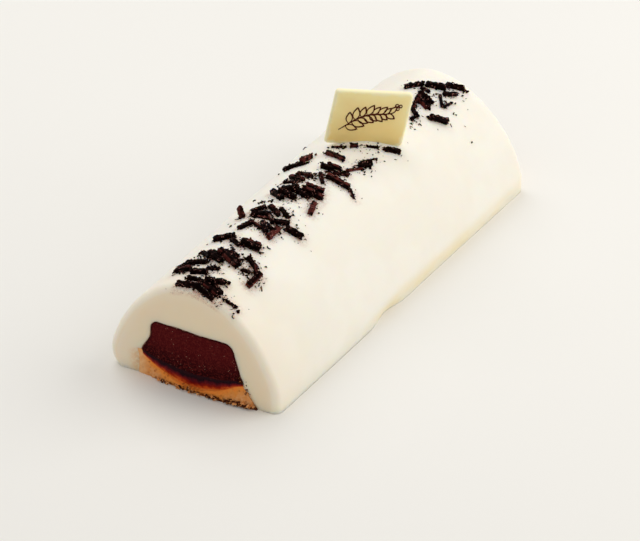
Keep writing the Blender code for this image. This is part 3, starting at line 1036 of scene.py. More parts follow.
@dataclass
class Layer:
    """A layer that runs from end to end, given by a place for shares of its three ways."""

    name: str
    node: str
    counts: tuple[int, int, int]
    place: Callable[[float, float, float], tuple[Vector, dict[str, float]]]
    finish: bpy.types.Material

    def build(self) -> bpy.types.Object:
        """The finished piece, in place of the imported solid."""
        nx, nz, ny = self.counts
        shell, known = Shell(), {}

        def at(i: int, j: int, k: int) -> int:
            """The number of the point at these steps."""
            if (i, j, k) not in known:
                here, marks = self.place(i / nx, j / nz, k / ny)
                known[i, j, k] = shell.point(here, **marks)
            return known[i, j, k]

        across, up = range(nx + 1), range(nz + 1)
        for j in (0, nz):
            for k in range(ny):
                shell.strip([at(i, j, k) for i in across], [at(i, j, k + 1) for i in across])
        for i in (0, nx):
            for k in range(ny):
                shell.strip([at(i, j, k) for j in up], [at(i, j, k + 1) for j in up])
        for k in (0, ny):
            for j in range(nz):
                shell.strip([at(i, j, k) for i in across], [at(i, j + 1, k) for i in across])
        made = shell.piece(self.name, 50.0)
        dress(made, self.finish, self.node, self.node)
        return made


@dataclass
class Filling:
    """The three layers inside the log."""

    shape: LogShape
    inside: Inside
    insert_finish: InsertFinish = InsertFinish()
    sauce_finish: SauceFinish = SauceFinish()
    sponge_finish: SpongeFinish = SpongeFinish()
    insert_relief: tuple[Place, ...] = ((0.16, 6.0), (0.07, 1.7))
    sponge_relief: tuple[Place, ...] = ((0.30, 2.2), (0.22, 0.9))
    # the step on the left takes one part in so many of the width of the sponge
    left_part: int = 24
    scorch_from: Place = (-28.0, -6.0)
    scorch_tops: Place = (2.0, 3.8)
    scorch_grows: Place = (-12.0, 34.0)
    creamy: float = 0.9
    creamy_width: float = 7.0

    def length_at(self, share: float) -> float:
        """The place along the log for a share from 0 to 1."""
        return between(-self.shape.end, self.shape.end, share)

    def end_way(self, share: float) -> float:
        """-1 on the front cut, 1 on the back cut and 0 between."""
        return {0.0: -1.0, 1.0: 1.0}.get(share, 0.0)

    def insert(self, across: float, up: float, share: float) -> tuple[Vector, dict[str, float]]:
        """A point of the chocolate insert."""
        i = self.inside
        z_side = between(i.low_z, i.top_z, math.sin(math.radians(90 * up)))
        half = i.insert_half(z_side)
        x = (2 * across - 1) * half
        rise = (z_side - i.low_z) / (i.top_z - i.low_z)
        z = between(i.insert_bottom(x), i.top_z, rise)
        rim = min(half - abs(x), i.top_z - z)
        x, z = i.worked(x, z)
        here = Vector((x, self.length_at(share), z))
        way = self.end_way(share)
        if way:
            rough = uneven(here, self.insert_relief)
            here.y += way * (rough * ease(0.0, 1.0, rim) - 0.12 * (1 - ease(0.0, 1.2, rim)))
        return here, {"rim": rim, "high": rise}

    def sauce(self, across: float, up: float, share: float) -> tuple[Vector, dict[str, float]]:
        """A point of the sauce band."""
        i = self.inside
        x = between(-i.sauce_half, i.sauce_half, across)
        low, high = i.sauce_bottom(x), i.insert_bottom(x) + i.overlap
        x, z = i.worked(x, between(low, high, up))
        here = Vector((x, self.length_at(share), z))
        way = self.end_way(share)
        if way:
            wet = math.sin(math.pi * up) * (1 - abs(2 * across - 1) ** 4)
            here.y += way * (0.45 * wet + 0.10 * lumps(here, 3.0) - 0.05)
        return here, {"depth": 1 - up}

    def sponge(self, across: float, up: float, share: float) -> tuple[Vector, dict[str, float]]:
        """A point of the sponge base."""
        i = self.inside
        low = between(i.sponge_left, i.sponge_right, across)
        parts = self.left_part
        if across <= 1 / parts:
            high, top = between(i.sponge_left, -i.sauce_half, across * parts), i.sponge_left_top
        else:
            beyond = (across * parts - 1) / (parts - 1)
            high = between(-i.sauce_half, i.sponge_right_top, beyond)
            top = i.sauce_bottom(min(high, i.sauce_half))
        under = top * (1 - up)
        x, z = i.worked(between(low, high, up), top * up)
        here = Vector((x, self.length_at(share), z))
        way = self.end_way(share)
        scorch_top = between(*self.scorch_tops, ease(*self.scorch_grows, here.x))
        scorch = ease(*self.scorch_from, here.x) * (1 - ease(0.5, scorch_top, here.z))
        if way:
            rough = uneven(here, self.sponge_relief)
            here.y += way * (i.swell(here.x, here.z) + rough - 0.1)
        creamy = self.creamy * (1 - ease(0.0, self.creamy_width, here.x - i.sponge_left))
        return here, {"under": under, "scorch": scorch, "creamy": creamy}

    def build(self) -> None:
        """Makes the insert, the sauce and the sponge."""
        for name, node, counts, place, finish in (
            ("insert_bar", "chocolate_insert", (90, 36, 40), self.insert, self.insert_finish),
            ("sauce_band", "chocolate_sauce", (90, 12, 40), self.sauce, self.sauce_finish),
            ("sponge_bar", "sponge_base", (144, 22, 60), self.sponge, self.sponge_finish),
        ):
            Layer(name, node, counts, place, finish.make()).build()


@dataclass
class SpongeCrumbs:
    """Crumbs that the knife pulled out along the lower edge of the front cut."""

    shape: LogShape
    inside: Inside
    finish: SpongeFinish = SpongeFinish()
    seed: int = 5
    across: Place = (-25.0, 37.0)
    count: int = 900
    # how wide the gaps between them are, and how few crumbs fall in a gap
    gaps: float = 3.2
    gap_limit: float = -0.05
    heights: Place = (0.1, 1.0)
    sizes: Place = (0.5, 2.7)
    # share of them that is burnt, on the left and on the right
    burnt: Place = (0.45, 0.82)
    scorch: float = 1.6
    # x and z of both ends of the joint where more of them cling, and how many
    joint: tuple[Place, Place, int] = ((26.4, 13.0), (35.0, 1.0), 34)
    clusters: tuple[float, ...] = (0.04, 0.10, 0.42, 0.50)
    # from this height on they lie close to the face, and from that one all are burnt
    close_above: float = 1.8
    burnt_above: float = 8.0
    burnt_scorch: float = 8.0

    def places(self, chance: random.Random) -> list[Place]:
        """Pairs of x and z: along the lower edge, and then up the joint on the right."""
        found = []
        for _ in range(self.count):
            x = between(*self.across, chance.random() ** 0.6)
            z = chance.uniform(*self.heights)
            clump = lumps(Vector((x, 5.0, 0.0)), self.gaps)
            if clump + chance.uniform(-0.5, 0.5) > self.gap_limit:
                found.append((x, z * between(1.0, 1.7, ease(0.0, 35.0, x))))
        start, end, more = self.joint
        for _ in range(more):
            t = chance.choice(self.clusters) + chance.gauss(0, 0.05)
            x, z = partway(start, end, t)
            found.append((x + chance.gauss(0, 0.8), z + chance.gauss(0, 0.7)))
        return found

    def build(self) -> bpy.types.Object:
        """All of them as one piece."""
        chance = random.Random(self.seed)
        heap = Heap(chance)
        under, scorch = (heap.shape.verts.layers.float.new(n) for n in ("under", "scorch"))
        for x, z in self.places(chance):
            face = -self.shape.end - self.inside.swell(x, z)
            size = between(*self.sizes, chance.random() ** 2.6)
            size *= between(0.8, 1.2, ease(-10.0, 35.0, x))
            here = Vector((x, face + chance.uniform(-1.2, 0.8), max(z, 0.1) + size / 4))
            if z > self.close_above:
                here.y, size = face - 0.05, 0.8 * size
            turn = Matrix.Rotation(chance.uniform(0, math.pi), 3, "Z")
            ways = (turn.col[0].copy(), turn.col[1].copy(), turn.col[2].copy())
            high = z > self.burnt_above
            burnt = 1.0 if high else between(*self.burnt, ease(0.0, 25.0, x))
            dark = self.burnt_scorch if high else self.scorch
            dark *= float(chance.random() < burnt)
            bulk = Vector((size, size * 0.8, size * 0.6))
            for corner in heap.bit(here, ways, bulk):
                corner[under], corner[scorch] = 9.0, dark
        made = heap.piece("sponge_crumbs")
        dress(made, self.finish.make(), "sponge_base")
        return made


# --------------------------------------------------------------------------
# Dark chocolate


class CrumbForm(Enum):
    """What a bit of chocolate looks like."""

    GRAIN = "grain"
    SPLINTER = "splinter"
    CURL = "curl"


GRAIN, SPLINTER, CURL = CrumbForm


@dataclass
class Laid:
    """One baton as it lies: its place, heading, size, height over the roof and tilt."""

    y: float
    x: float
    heading: float
    length: float
    thick: float
    lift: float = 0.0
    tilt: float = 0.0
    rubbed: bool = False

    def own(self, dx: float, dy: float) -> Place:
        """How far ahead and aside something is that lies dx and dy from its middle."""
        c, s = math.cos(math.radians(self.heading)), math.sin(math.radians(self.heading))
        return dx * c + dy * s, dy * c - dx * s

    def at(self, away: float) -> Place:
        """y and x of the place this far along it from its middle."""
        turn = math.radians(self.heading)
        return self.y + math.sin(turn) * away, self.x + math.cos(turn) * away


@dataclass
class Batons:
    """Roughly cut sticks of dark chocolate along the ridge.

    Each is given by y and x of its middle, its heading from +X to +Y in
    degrees, its length and its thickness. One that stands up on its end has
    its lift and tilt in radians too.
    """

    shape: LogShape
    finish: DarkChocolateFinish = DarkChocolateFinish()
    seed: int = 24
    grain_seed: int = 7
    lift_limit: float = 3.4
    # how deep they are pressed into the roof, and how much deeper for each mm of length
    pressed: Place = (0.5, 0.03)
    sides: int = 20
    ring_step: float = 0.45
    ragged: float = 0.65
    # share of the flanks that are plain, and the tones of plain and of rubbed ones
    plain: float = 0.78
    plain_tones: Place = (0.0, 0.04)
    other_tones: Place = (0.45, 1.0)
    sticks: tuple[tuple[float, ...], ...] = (
        # the heap at the front end
        (-104.6, -13.2, 8, 7.6, 3.1), (-105.8, -4.2, 16, 9.0, 3.1), (-100.4, -15.3, 33, 6.0, 2.7),
        (-97.0, -10.4, 0, 11.9, 2.7), (-117.6, -2.8, 4, 12.2, 2.9), (-118.2, 7.0, -9, 9.6, 2.8),
        (-115.4, 7.8, -11, 9.3, 2.7), (-112.6, -0.2, 0, 11.9, 2.3), (-113.2, 10.2, -31, 7.6, 2.2),
        (-109.4, 6.7, 42, 9.8, 2.9), (-100.3, 0.7, 23, 5.6, 2.0), (-89.5, -9.9, -34, 9.5, 2.3),
        (-92.2, -3.3, -19, 9.2, 3.1), (-88.4, -3.5, -9, 8.2, 2.7), (-90.0, 2.3, -21, 13.5, 2.9),
        (-87.5, 2.9, -22, 10.9, 2.6), (-84.9, 2.6, -35, 7.7, 1.9), (-71.6, -10.7, 15, 10.6, 3.1),
        (-75.3, -2.5, -30, 8.5, 2.3), (-74.9, 5.0, 10, 9.9, 3.1), (-71.9, 4.0, 13, 8.4, 2.7),
        # three leaning together beside it
        (-84.4, 11.6, -23, 6.9, 2.7), (-88.1, 15.5, -42, 6.2, 2.3), (-93.5, 17.6, 92, 10.6, 2.9),
        (-91.3, 12.5, 23, 4.0, 1.8), (-114.9, 18.5, 12, 5.8, 1.7),
        # the strewn middle
        (-47.6, -15.2, 120, 6.2, 2.8, 1.5, 0.95), (-42.2, -9.3, 44, 7.6, 2.7),
        (-46.7, -5.4, 12, 9.2, 2.7), (-41.5, -1.1, -35, 9.7, 2.7), (-40.5, 3.7, -37, 8.4, 2.3),
        (-49.0, 6.0, 31, 9.5, 2.9), (-58.2, -6.6, 65, 8.8, 2.5), (-56.9, -2.0, -20, 8.3, 1.5),
        (-56.9, 2.1, -49, 9.3, 2.5), (-58.2, 7.9, 90, 10.3, 2.8), (-49.8, 14.0, 12, 9.0, 3.1),
        (-27.5, 11.4, 107, 9.7, 2.6), (-49.1, -2.2, 3, 5.9, 1.7), (-55.7, 4.7, -39, 5.6, 1.7),
        # the stacked heap in front of the plaque
        (-26.6, -8.3, -35, 12.0, 2.9), (-26.3, -3.1, -10, 9.8, 2.9), (-21.1, 1.8, -8, 10.0, 3.1),
        (-12.6, -8.6, 9, 8.0, 1.8), (-21.1, -4.8, 15, 9.8, 2.7), (-18.6, 6.4, 9, 10.2, 3.1),
        (-13.6, 4.8, 8, 9.4, 2.7), (-8.9, -7.6, -15, 9.0, 2.7), (-4.3, -6.0, -1, 8.5, 2.3),
        (-4.2, 3.1, -52, 8.6, 2.3), (-0.6, 9.9, 5, 12.2, 3.1), (5.8, 8.3, 38, 8.3, 2.3),
        (5.6, 0.3, -5, 6.5, 3.1), (8.5, 3.0, 1, 7.2, 2.7), (14.2, 10.9, 62, 9.6, 1.7),
        (20.5, 12.8, 56, 7.8, 2.3), (22.5, 12.1, 45, 5.7, 1.8), (27.7, 12.8, 66, 7.4, 1.1),
        (7.3, -18.6, 9, 12.5, 2.7), (11.8, -14.0, 84, 8.0, 3.0), (17.7, -1.8, -11, 11.3, 2.9),
        (-1.2, 18.3, -36, 6.1, 1.2),
        # along the foot of the plaque
        (26.6, -5.6, 14, 5.8, 1.6), (30.6, 1.4, 38, 3.8, 2.0), (36.2, 8.7, 42, 5.9, 1.5),
        (42.2, 16.4, 42, 7.8, 2.8),
        # behind the plaque
        (82.4, 19.8, 39, 10.2, 3.1), (72.8, 11.7, 76, 5.1, 1.7), (76.0, 9.8, -43, 5.4, 2.1),
        (86.0, 9.0, -19, 9.3, 2.9), (90.8, 8.3, -21, 10.1, 2.9), (83.3, 6.4, -75, 9.6, 1.9),
        (95.4, 14.3, -52, 8.6, 1.7), (95.9, 17.7, 79, 7.3, 1.5), (103.5, 14.8, 51, 8.0, 2.3),
        (97.1, -1.9, 46, 10.4, 2.8), (102.9, 7.1, 27, 10.2, 3.1), (110.2, 13.8, 36, 9.7, 2.9),
        (96.6, 4.5, -5, 5.0, 1.9),
    )
    # y and x of the ones that are rubbed brown all over
    rubbed: tuple[Place, ...] = ((11.8, -14.0), (-47.6, -15.2), (14.2, 10.9), (-58.2, 7.9))
    rubbed_tones: tuple[float, ...] = (0.85, 0.65, 0.95, 0.70)
    laid: list[Laid] = field(default_factory=list)

    def lay(self) -> list[Laid]:
        """Lays every baton, each over the ones before it."""
        for sizes in self.sticks:
            new = Laid(*sizes, rubbed=sizes[:2] in self.rubbed)
            if not new.tilt:
                self.rest(new)
            self.laid.append(new)
        return self.laid

    def rest(self, new: Laid) -> None:
        """Finds how a baton lies over the ones already laid.

        Args:
            new: the baton; its lift and tilt are set here.
        """
        own = math.radians(new.heading)
        highest, contact = 0.0, 0.0
        for old in self.laid:
            touched, step = [], 0.0
            for i in range(-4, 5):
                share = i / 4.4
                dx = 1.1 * (new.x - old.x) + share * new.length / 2 * math.cos(own)
                dy = new.y - old.y + share * new.length / 2 * math.sin(own)
                ahead, aside = old.own(dx, dy)
                beside = (old.thick + 0.5 * new.thick) / 2
                if abs(ahead) < old.length / 2 and abs(aside) < beside:
                    touched.append(share)
                    step = max(step, old.lift + ahead * math.tan(old.tilt) + 0.5 * old.thick)
            if touched and step > highest:
                highest, contact = min(step, self.lift_limit), sum(touched) / len(touched)
        if abs(contact) < 0.35:
            new.lift = highest
        else:
            new.lift = highest / (1 + abs(contact))
            new.tilt = math.copysign(math.asin(min(2 * new.lift / new.length, 0.45)), contact)

    def corners(self, chance: random.Random, new: Laid, tilt: float) -> list[Vector]:
        """The eight corners of a baton, pressed a little into the roof."""
        here, across, ahead, out = self.shape.seat(new.y, new.x)
        turn = math.radians(new.heading)
        level = turned(across, ahead, turn).normalized()
        side = out.cross(level).normalized()
        run, up = turned(level, out, tilt), turned(out, level, -tilt)
        sunk = self.pressed[0] + self.pressed[1] * new.length
        centre = here + out * (new.thick / 2 - sunk + new.lift)
        wide = new.thick * chance.uniform(0.95, 1.25)
        found = []
        for end in (-1, 1):
            cut_back = chance.uniform(-0.12, 0.12) * new.thick
            for flank, upward in SQUARE:
                found.append(
                    centre
                    + run * (end * new.length / 2 + cut_back * flank)
                    + side * (flank * wide / 2 * chance.uniform(0.82, 1.0))
                    + up * (upward * new.thick / 2 * chance.uniform(0.88, 1.0))
                )
        return found

    def stick(self, shell: Shell, chance: random.Random, corners: list[Vector], new: Laid) -> None:
        """Adds one baton with ridged flanks and broken ends.

        Args:
            shell: what it goes into.
            chance: the draws for its roughness.
            corners: its eight corners.
            new: its size.
        """
        sides, rings = self.sides, max(9, round(new.length / self.ring_step))
        ridge = [chance.uniform(0.84, 1.06) for _ in range(sides)]
        tones = []
        for _ in range(4):
            plain = chance.random() < self.plain
            tones.append(chance.uniform(*(self.plain_tones if plain else self.other_tones)))
        if new.rubbed:
            tones = list(self.rubbed_tones)
        seed = Vector([chance.uniform(0, 50) for _ in range(3)])

        def inner(a: float, b: float, t: float) -> Vector:
            """The point at shares -1 to 1 across and up, and 0 to 1 along."""
            found = Vector()
            for number, (flank, upward) in enumerate(SQUARE):
                weight = (1 + flank * a) * (1 + upward * b) / 4
                found += corners[number].lerp(corners[number + 4], t) * weight
            return found

        def ring(t: float, shrink: float, fray: float) -> list[int]:
            """One ring of points round the stick."""
            row = []
            for i in range(sides):
                turn = 2 * math.pi * (i + 0.5) / sides
                c, s = math.cos(turn), math.sin(turn)
                reach = (abs(c) ** 6 + abs(s) ** 6) ** (-1 / 6) * shrink * ridge[i]
                here = inner(c * reach, s * reach, t) + seed
                chip = 1 + 0.20 * lumps(here, 0.8) + 0.16 * lumps(here, 2.2)
                chip -= 0.30 * ease(0.25, 0.60, lumps(here, 1.5))
                side = int((i + 0.5 + sides / 8) / (sides / 4)) % 4
                tone = tones[side] * ease(-0.45, 0.25, lumps(here, 1.9))
                ragged = fray * (lumps(here, 0.8) + lumps(here, 2.4))
                place = inner(c * reach * chip, s * reach * chip, t + ragged)
                row.append(shell.point(place, tone=tone))
            return row

        def cap(row: list[int], t: float, tone: float) -> None:
            """Closes the ring at one end."""
            tip = shell.point(inner(0.0, 0.0, t), tone=tone)
            shell.faces.extend((row[i], row[(i + 1) % sides], tip) for i in range(sides))

        fray = self.ragged / new.length
        last, first = ring(0.0, 0.88, fray), ring(0.02, 0.55, fray * 1.5)
        cap(first, 0.01, tones[0])
        shell.strip(first, last, closed=True)
        for k in range(1, rings):
            t = between(0.04, 0.96, (k - 1) / (rings - 2))
            row = ring(t, 1.0, fray * abs(2 * t - 1) ** 3)
            shell.strip(last, row, closed=True)
            last = row
        for t, shrink, ragged in ((1.0, 0.88, fray), (0.98, 0.55, fray * 1.5)):
            row = ring(t, shrink, ragged)
            shell.strip(last, row, closed=True)
            last = row
        cap(last, 0.99, tones[1])

    def build(self) -> bpy.types.Object:
        """All batons as one piece."""
        chance, fine = random.Random(self.seed), random.Random(self.grain_seed)
        shell = Shell()
        for stick in self.laid:
            self.stick(shell, fine, self.corners(chance, stick, stick.tilt), stick)
        made = shell.piece("chocolate_batons", 24.0)
        dress(made, self.finish.make(), "white_ice_cream", "white_ice_cream")
        return made


@dataclass
class Crumbs:
    """Crumbs, splinters and curls of chocolate strewn round the batons."""

    shape: LogShape
    laid: list[Laid]
    finish: DarkChocolateFinish = DarkChocolateFinish("chocolate crumb", rough=0.5)
    seed: int = 11
    spread: float = 2.8
    # how many round a baton, and the share of that on the barer part of the roof
    strewn: tuple[int, int] = (25, 37)
    thinned: float = 0.45
    # other batons as near as this make a heap when they are so many
    near: float = 11.0
    heap_count: int = 5
    crowding: Place = (0.3, 1.3)
    on_top: tuple[int, int] = (4, 8)
    chunks: tuple[int, int] = (2, 5)
    sizes: Place = (0.50, 1.60)
    # shares of the stray ones that are curls, and curls or splinters
    curls: float = 0.07
    slender: float = 0.36
    shaving: float = 0.24
    scatter: float = 1.1
    # y and x of both ends, and how many bits lie along the line between them
    trails: tuple[tuple[Place, Place, int], ...] = (
        ((93.0, 3.0), (64.5, 14.2), 30),
        ((22.5, -9.5), (45.5, 20.5), 30),
        ((40.5, -31.5), (42.5, -33.5), 4),
        ((-8.0, -3.0), (7.0, 5.0), 60),
        ((-34.0, -15.0), (-30.0, 4.0), 46),
    )
    # y, x, size and form of the ones that lie on their own
    single: tuple[tuple[float, float, float, CrumbForm], ...] = (
        (-119.2, -14.5, 1.0, SPLINTER), (-119.6, 14.7, 2.0, GRAIN), (-119.3, 13.2, 1.8, SPLINTER),
        (-112.4, 14.3, 1.5, GRAIN), (-112.3, 11.2, 2.2, CURL), (-108.6, 24.3, 0.7, GRAIN),
        (-85.4, 20.3, 0.6, GRAIN), (-76.7, 11.7, 0.7, GRAIN), (-84.9, 6.8, 1.0, SPLINTER),
        (-68.3, 11.6, 2.4, CURL), (-70.5, 9.8, 1.4, SPLINTER), (-75.4, -18.2, 1.3, GRAIN),
        (-57.5, -16.3, 2.0, CURL), (-53.4, -19.9, 1.6, SPLINTER), (-50.5, 24.1, 0.8, GRAIN),
        (-40.2, 15.1, 0.7, GRAIN), (-39.6, 11.2, 0.9, GRAIN), (-31.4, 6.5, 1.3, GRAIN),
        (-30.6, 7.6, 1.1, SPLINTER), (-36.3, 10.0, 0.6, GRAIN), (-34.8, 3.6, 0.9, GRAIN),
        (-28.5, -20.1, 1.8, CURL), (-33.2, -12.6, 2.0, CURL), (-13.1, -17.1, 0.8, GRAIN),
        (-57.4, 12.8, 1.1, GRAIN), (-56.9, 10.2, 0.9, GRAIN), (-63.6, 3.6, 1.0, SPLINTER),
        (17.0, 8.0, 0.8, GRAIN), (44.7, 23.8, 1.2, SPLINTER), (54.5, 18.3, 0.9, SPLINTER),
        (20.4, -17.0, 2.4, CURL), (65.5, 13.9, 2.2, SPLINTER), (70.3, 16.3, 2.6, CURL),
        (69.8, 12.0, 2.4, SPLINTER), (73.7, 13.3, 2.6, SPLINTER), (77.0, 22.8, 2.0, SPLINTER),
        (90.5, 34.6, 1.9, GRAIN), (93.9, 28.9, 1.6, SPLINTER), (95.1, 22.0, 1.2, SPLINTER),
        (104.3, 24.9, 0.7, GRAIN),
    )

    def nugget(self, heap: Heap, seat: tuple[Vector, ...], size: Vector) -> None:
        """One angular bit, turned any way round.

        Args:
            heap: what it goes into.
            seat: the point and directions that it lies at.
            size: its length, width and height.
        """
        here, across, ahead, out = seat
        first = turned(across, ahead, heap.chance.uniform(0, math.pi))
        heap.bit(here + out * size.z * 0.3, (first, out.cross(first), out), size)

    def curl(self, heap: Heap, seat: tuple[Vector, ...], size: float) -> None:
        """One thin shaving, bent round in a loose hook.

        Args:
            heap: what it goes into.
            seat: the point and directions that it lies at.
            size: how far it reaches across.
        """
        here, across, ahead, out = seat
        start, sweep = heap.chance.uniform(0, 2 * math.pi), heap.chance.uniform(2.2, 4.6)
        flat, thick = heap.chance.uniform(0.5, 0.9), self.shaving
        steps, rows = 9, []
        for k in range(steps + 1):
            t = k / steps
            turn = start + sweep * t
            radius = size / 2 * between(1.0, 0.7, t)
            middle = across * math.cos(turn) * radius + ahead * math.sin(turn) * radius * flat
            outward = turned(across, ahead, turn).normalized()
            wide = thick * taper(t, 0.08)
            base = here + middle + out * (thick * 0.6 + 0.35 * size * 0.3 * math.sin(math.pi * t))
            corners = [base + outward * a * wide + out * b * wide for a, b in SQUARE]
            rows.append([heap.shape.verts.new(corner) for corner in corners])
        for a, b in zip(rows, rows[1:]):
            for i in range(4):
                heap.shape.faces.new((a[i], a[(i + 1) % 4], b[(i + 1) % 4], b[i]))
        heap.shape.faces.new(rows[0][::-1])
        heap.shape.faces.new(rows[-1])

    def drop(
        self, heap: Heap, y: float, x: float, size: float, form: CrumbForm, raised: float = 0.0
    ) -> None:
        """Lays one bit on the roof or on a baton.

        Args:
            heap: what it goes into.
            y: its place along the log.
            x: its place across the log.
            size: its length in mm.
            form: what it looks like.
            raised: its height over the roof.
        """
        here, *ways = self.shape.seat(y, x)
        seat = (here + ways[-1] * raised, *ways)
        if form is CURL:
            self.curl(heap, seat, size)
        elif form is SPLINTER:
            slim = heap.chance.uniform(0.20, 0.42)
            self.nugget(heap, seat, Vector((size, size * slim, size * slim * 0.8)))
        else:
            wide = heap.chance.uniform(0.55, 0.95)
            self.nugget(heap, seat, Vector((size, size * wide, size * 0.6)))

    def stray(self, heap: Heap, y: float, x: float, raised: float = 0.0) -> None:
        """Lays one bit of a chance form and size, unless it would fall off an end."""
        roll, size = heap.chance.random(), between(*self.sizes, heap.chance.random() ** 2.0)
        if abs(y) > self.shape.end - 0.6:
            return
        if roll < self.curls:
            self.drop(heap, y, x, size + 1.0, CURL, raised)
        elif roll < self.slender:
            self.drop(heap, y, x, size * 1.9, SPLINTER, raised)
        else:
            self.drop(heap, y, x, size, GRAIN, raised)

    def crowd(self, stick: Laid) -> float:
        """How crowded it is round a baton: about 0.3 alone and 1.3 in a heap."""
        close = sum(math.dist((stick.x, stick.y), (b.x, b.y)) < self.near for b in self.laid)
        low, high = self.crowding
        return min(max(close / self.heap_count, low), high)

    def strew(self, heap: Heap, stick: Laid) -> None:
        """Strews bits round one baton, on top of it, and larger ones by its ends."""
        chance = heap.chance
        share = between(1.0, self.thinned, ease(*self.shape.barer, stick.y))
        share *= self.crowd(stick)
        for _ in range(round(chance.randint(*self.strewn) * share)):
            y = stick.y + chance.gauss(0, self.spread)
            self.stray(heap, y, stick.x + chance.gauss(0, self.spread))
        for _ in range(chance.randint(*self.on_top)):
            away = chance.uniform(-0.5, 0.5) * stick.length
            raised = stick.lift + away * math.sin(stick.tilt) + 0.72 * stick.thick
            self.stray(heap, *stick.at(away), raised)
        for _ in range(chance.randint(*self.chunks)):
            away = chance.choice((-0.5, 0.5)) * stick.length + chance.uniform(-1.4, 1.4)
            y, x = (c + chance.uniform(-1.3, 1.3) for c in stick.at(away))
            form = chance.choice((GRAIN, SPLINTER))
            if abs(y) < self.shape.end - 1.5:
                self.drop(heap, y, x, chance.uniform(1.3, 3.0), form, stick.lift * 0.4)

    def build(self) -> bpy.types.Object:
        """All crumbs, splinters and curls as one piece."""
        chance = random.Random(self.seed)
        heap = Heap(chance)
        for y, x, size, form in self.single:
            self.drop(heap, y, x, size, form)
        for start, end, count in self.trails:
            for _ in range(count):
                y, x = partway(start, end, chance.random())
                y += chance.gauss(0, self.scatter)
                self.stray(heap, y, x + chance.gauss(0, self.scatter))
        for stick in self.laid:
            self.strew(heap, stick)
        made = heap.piece("chocolate_crumbs")
        dress(made, self.finish.make(), "white_ice_cream", "white_ice_cream")
        return made


# --------------------------------------------------------------------------
# The plaque


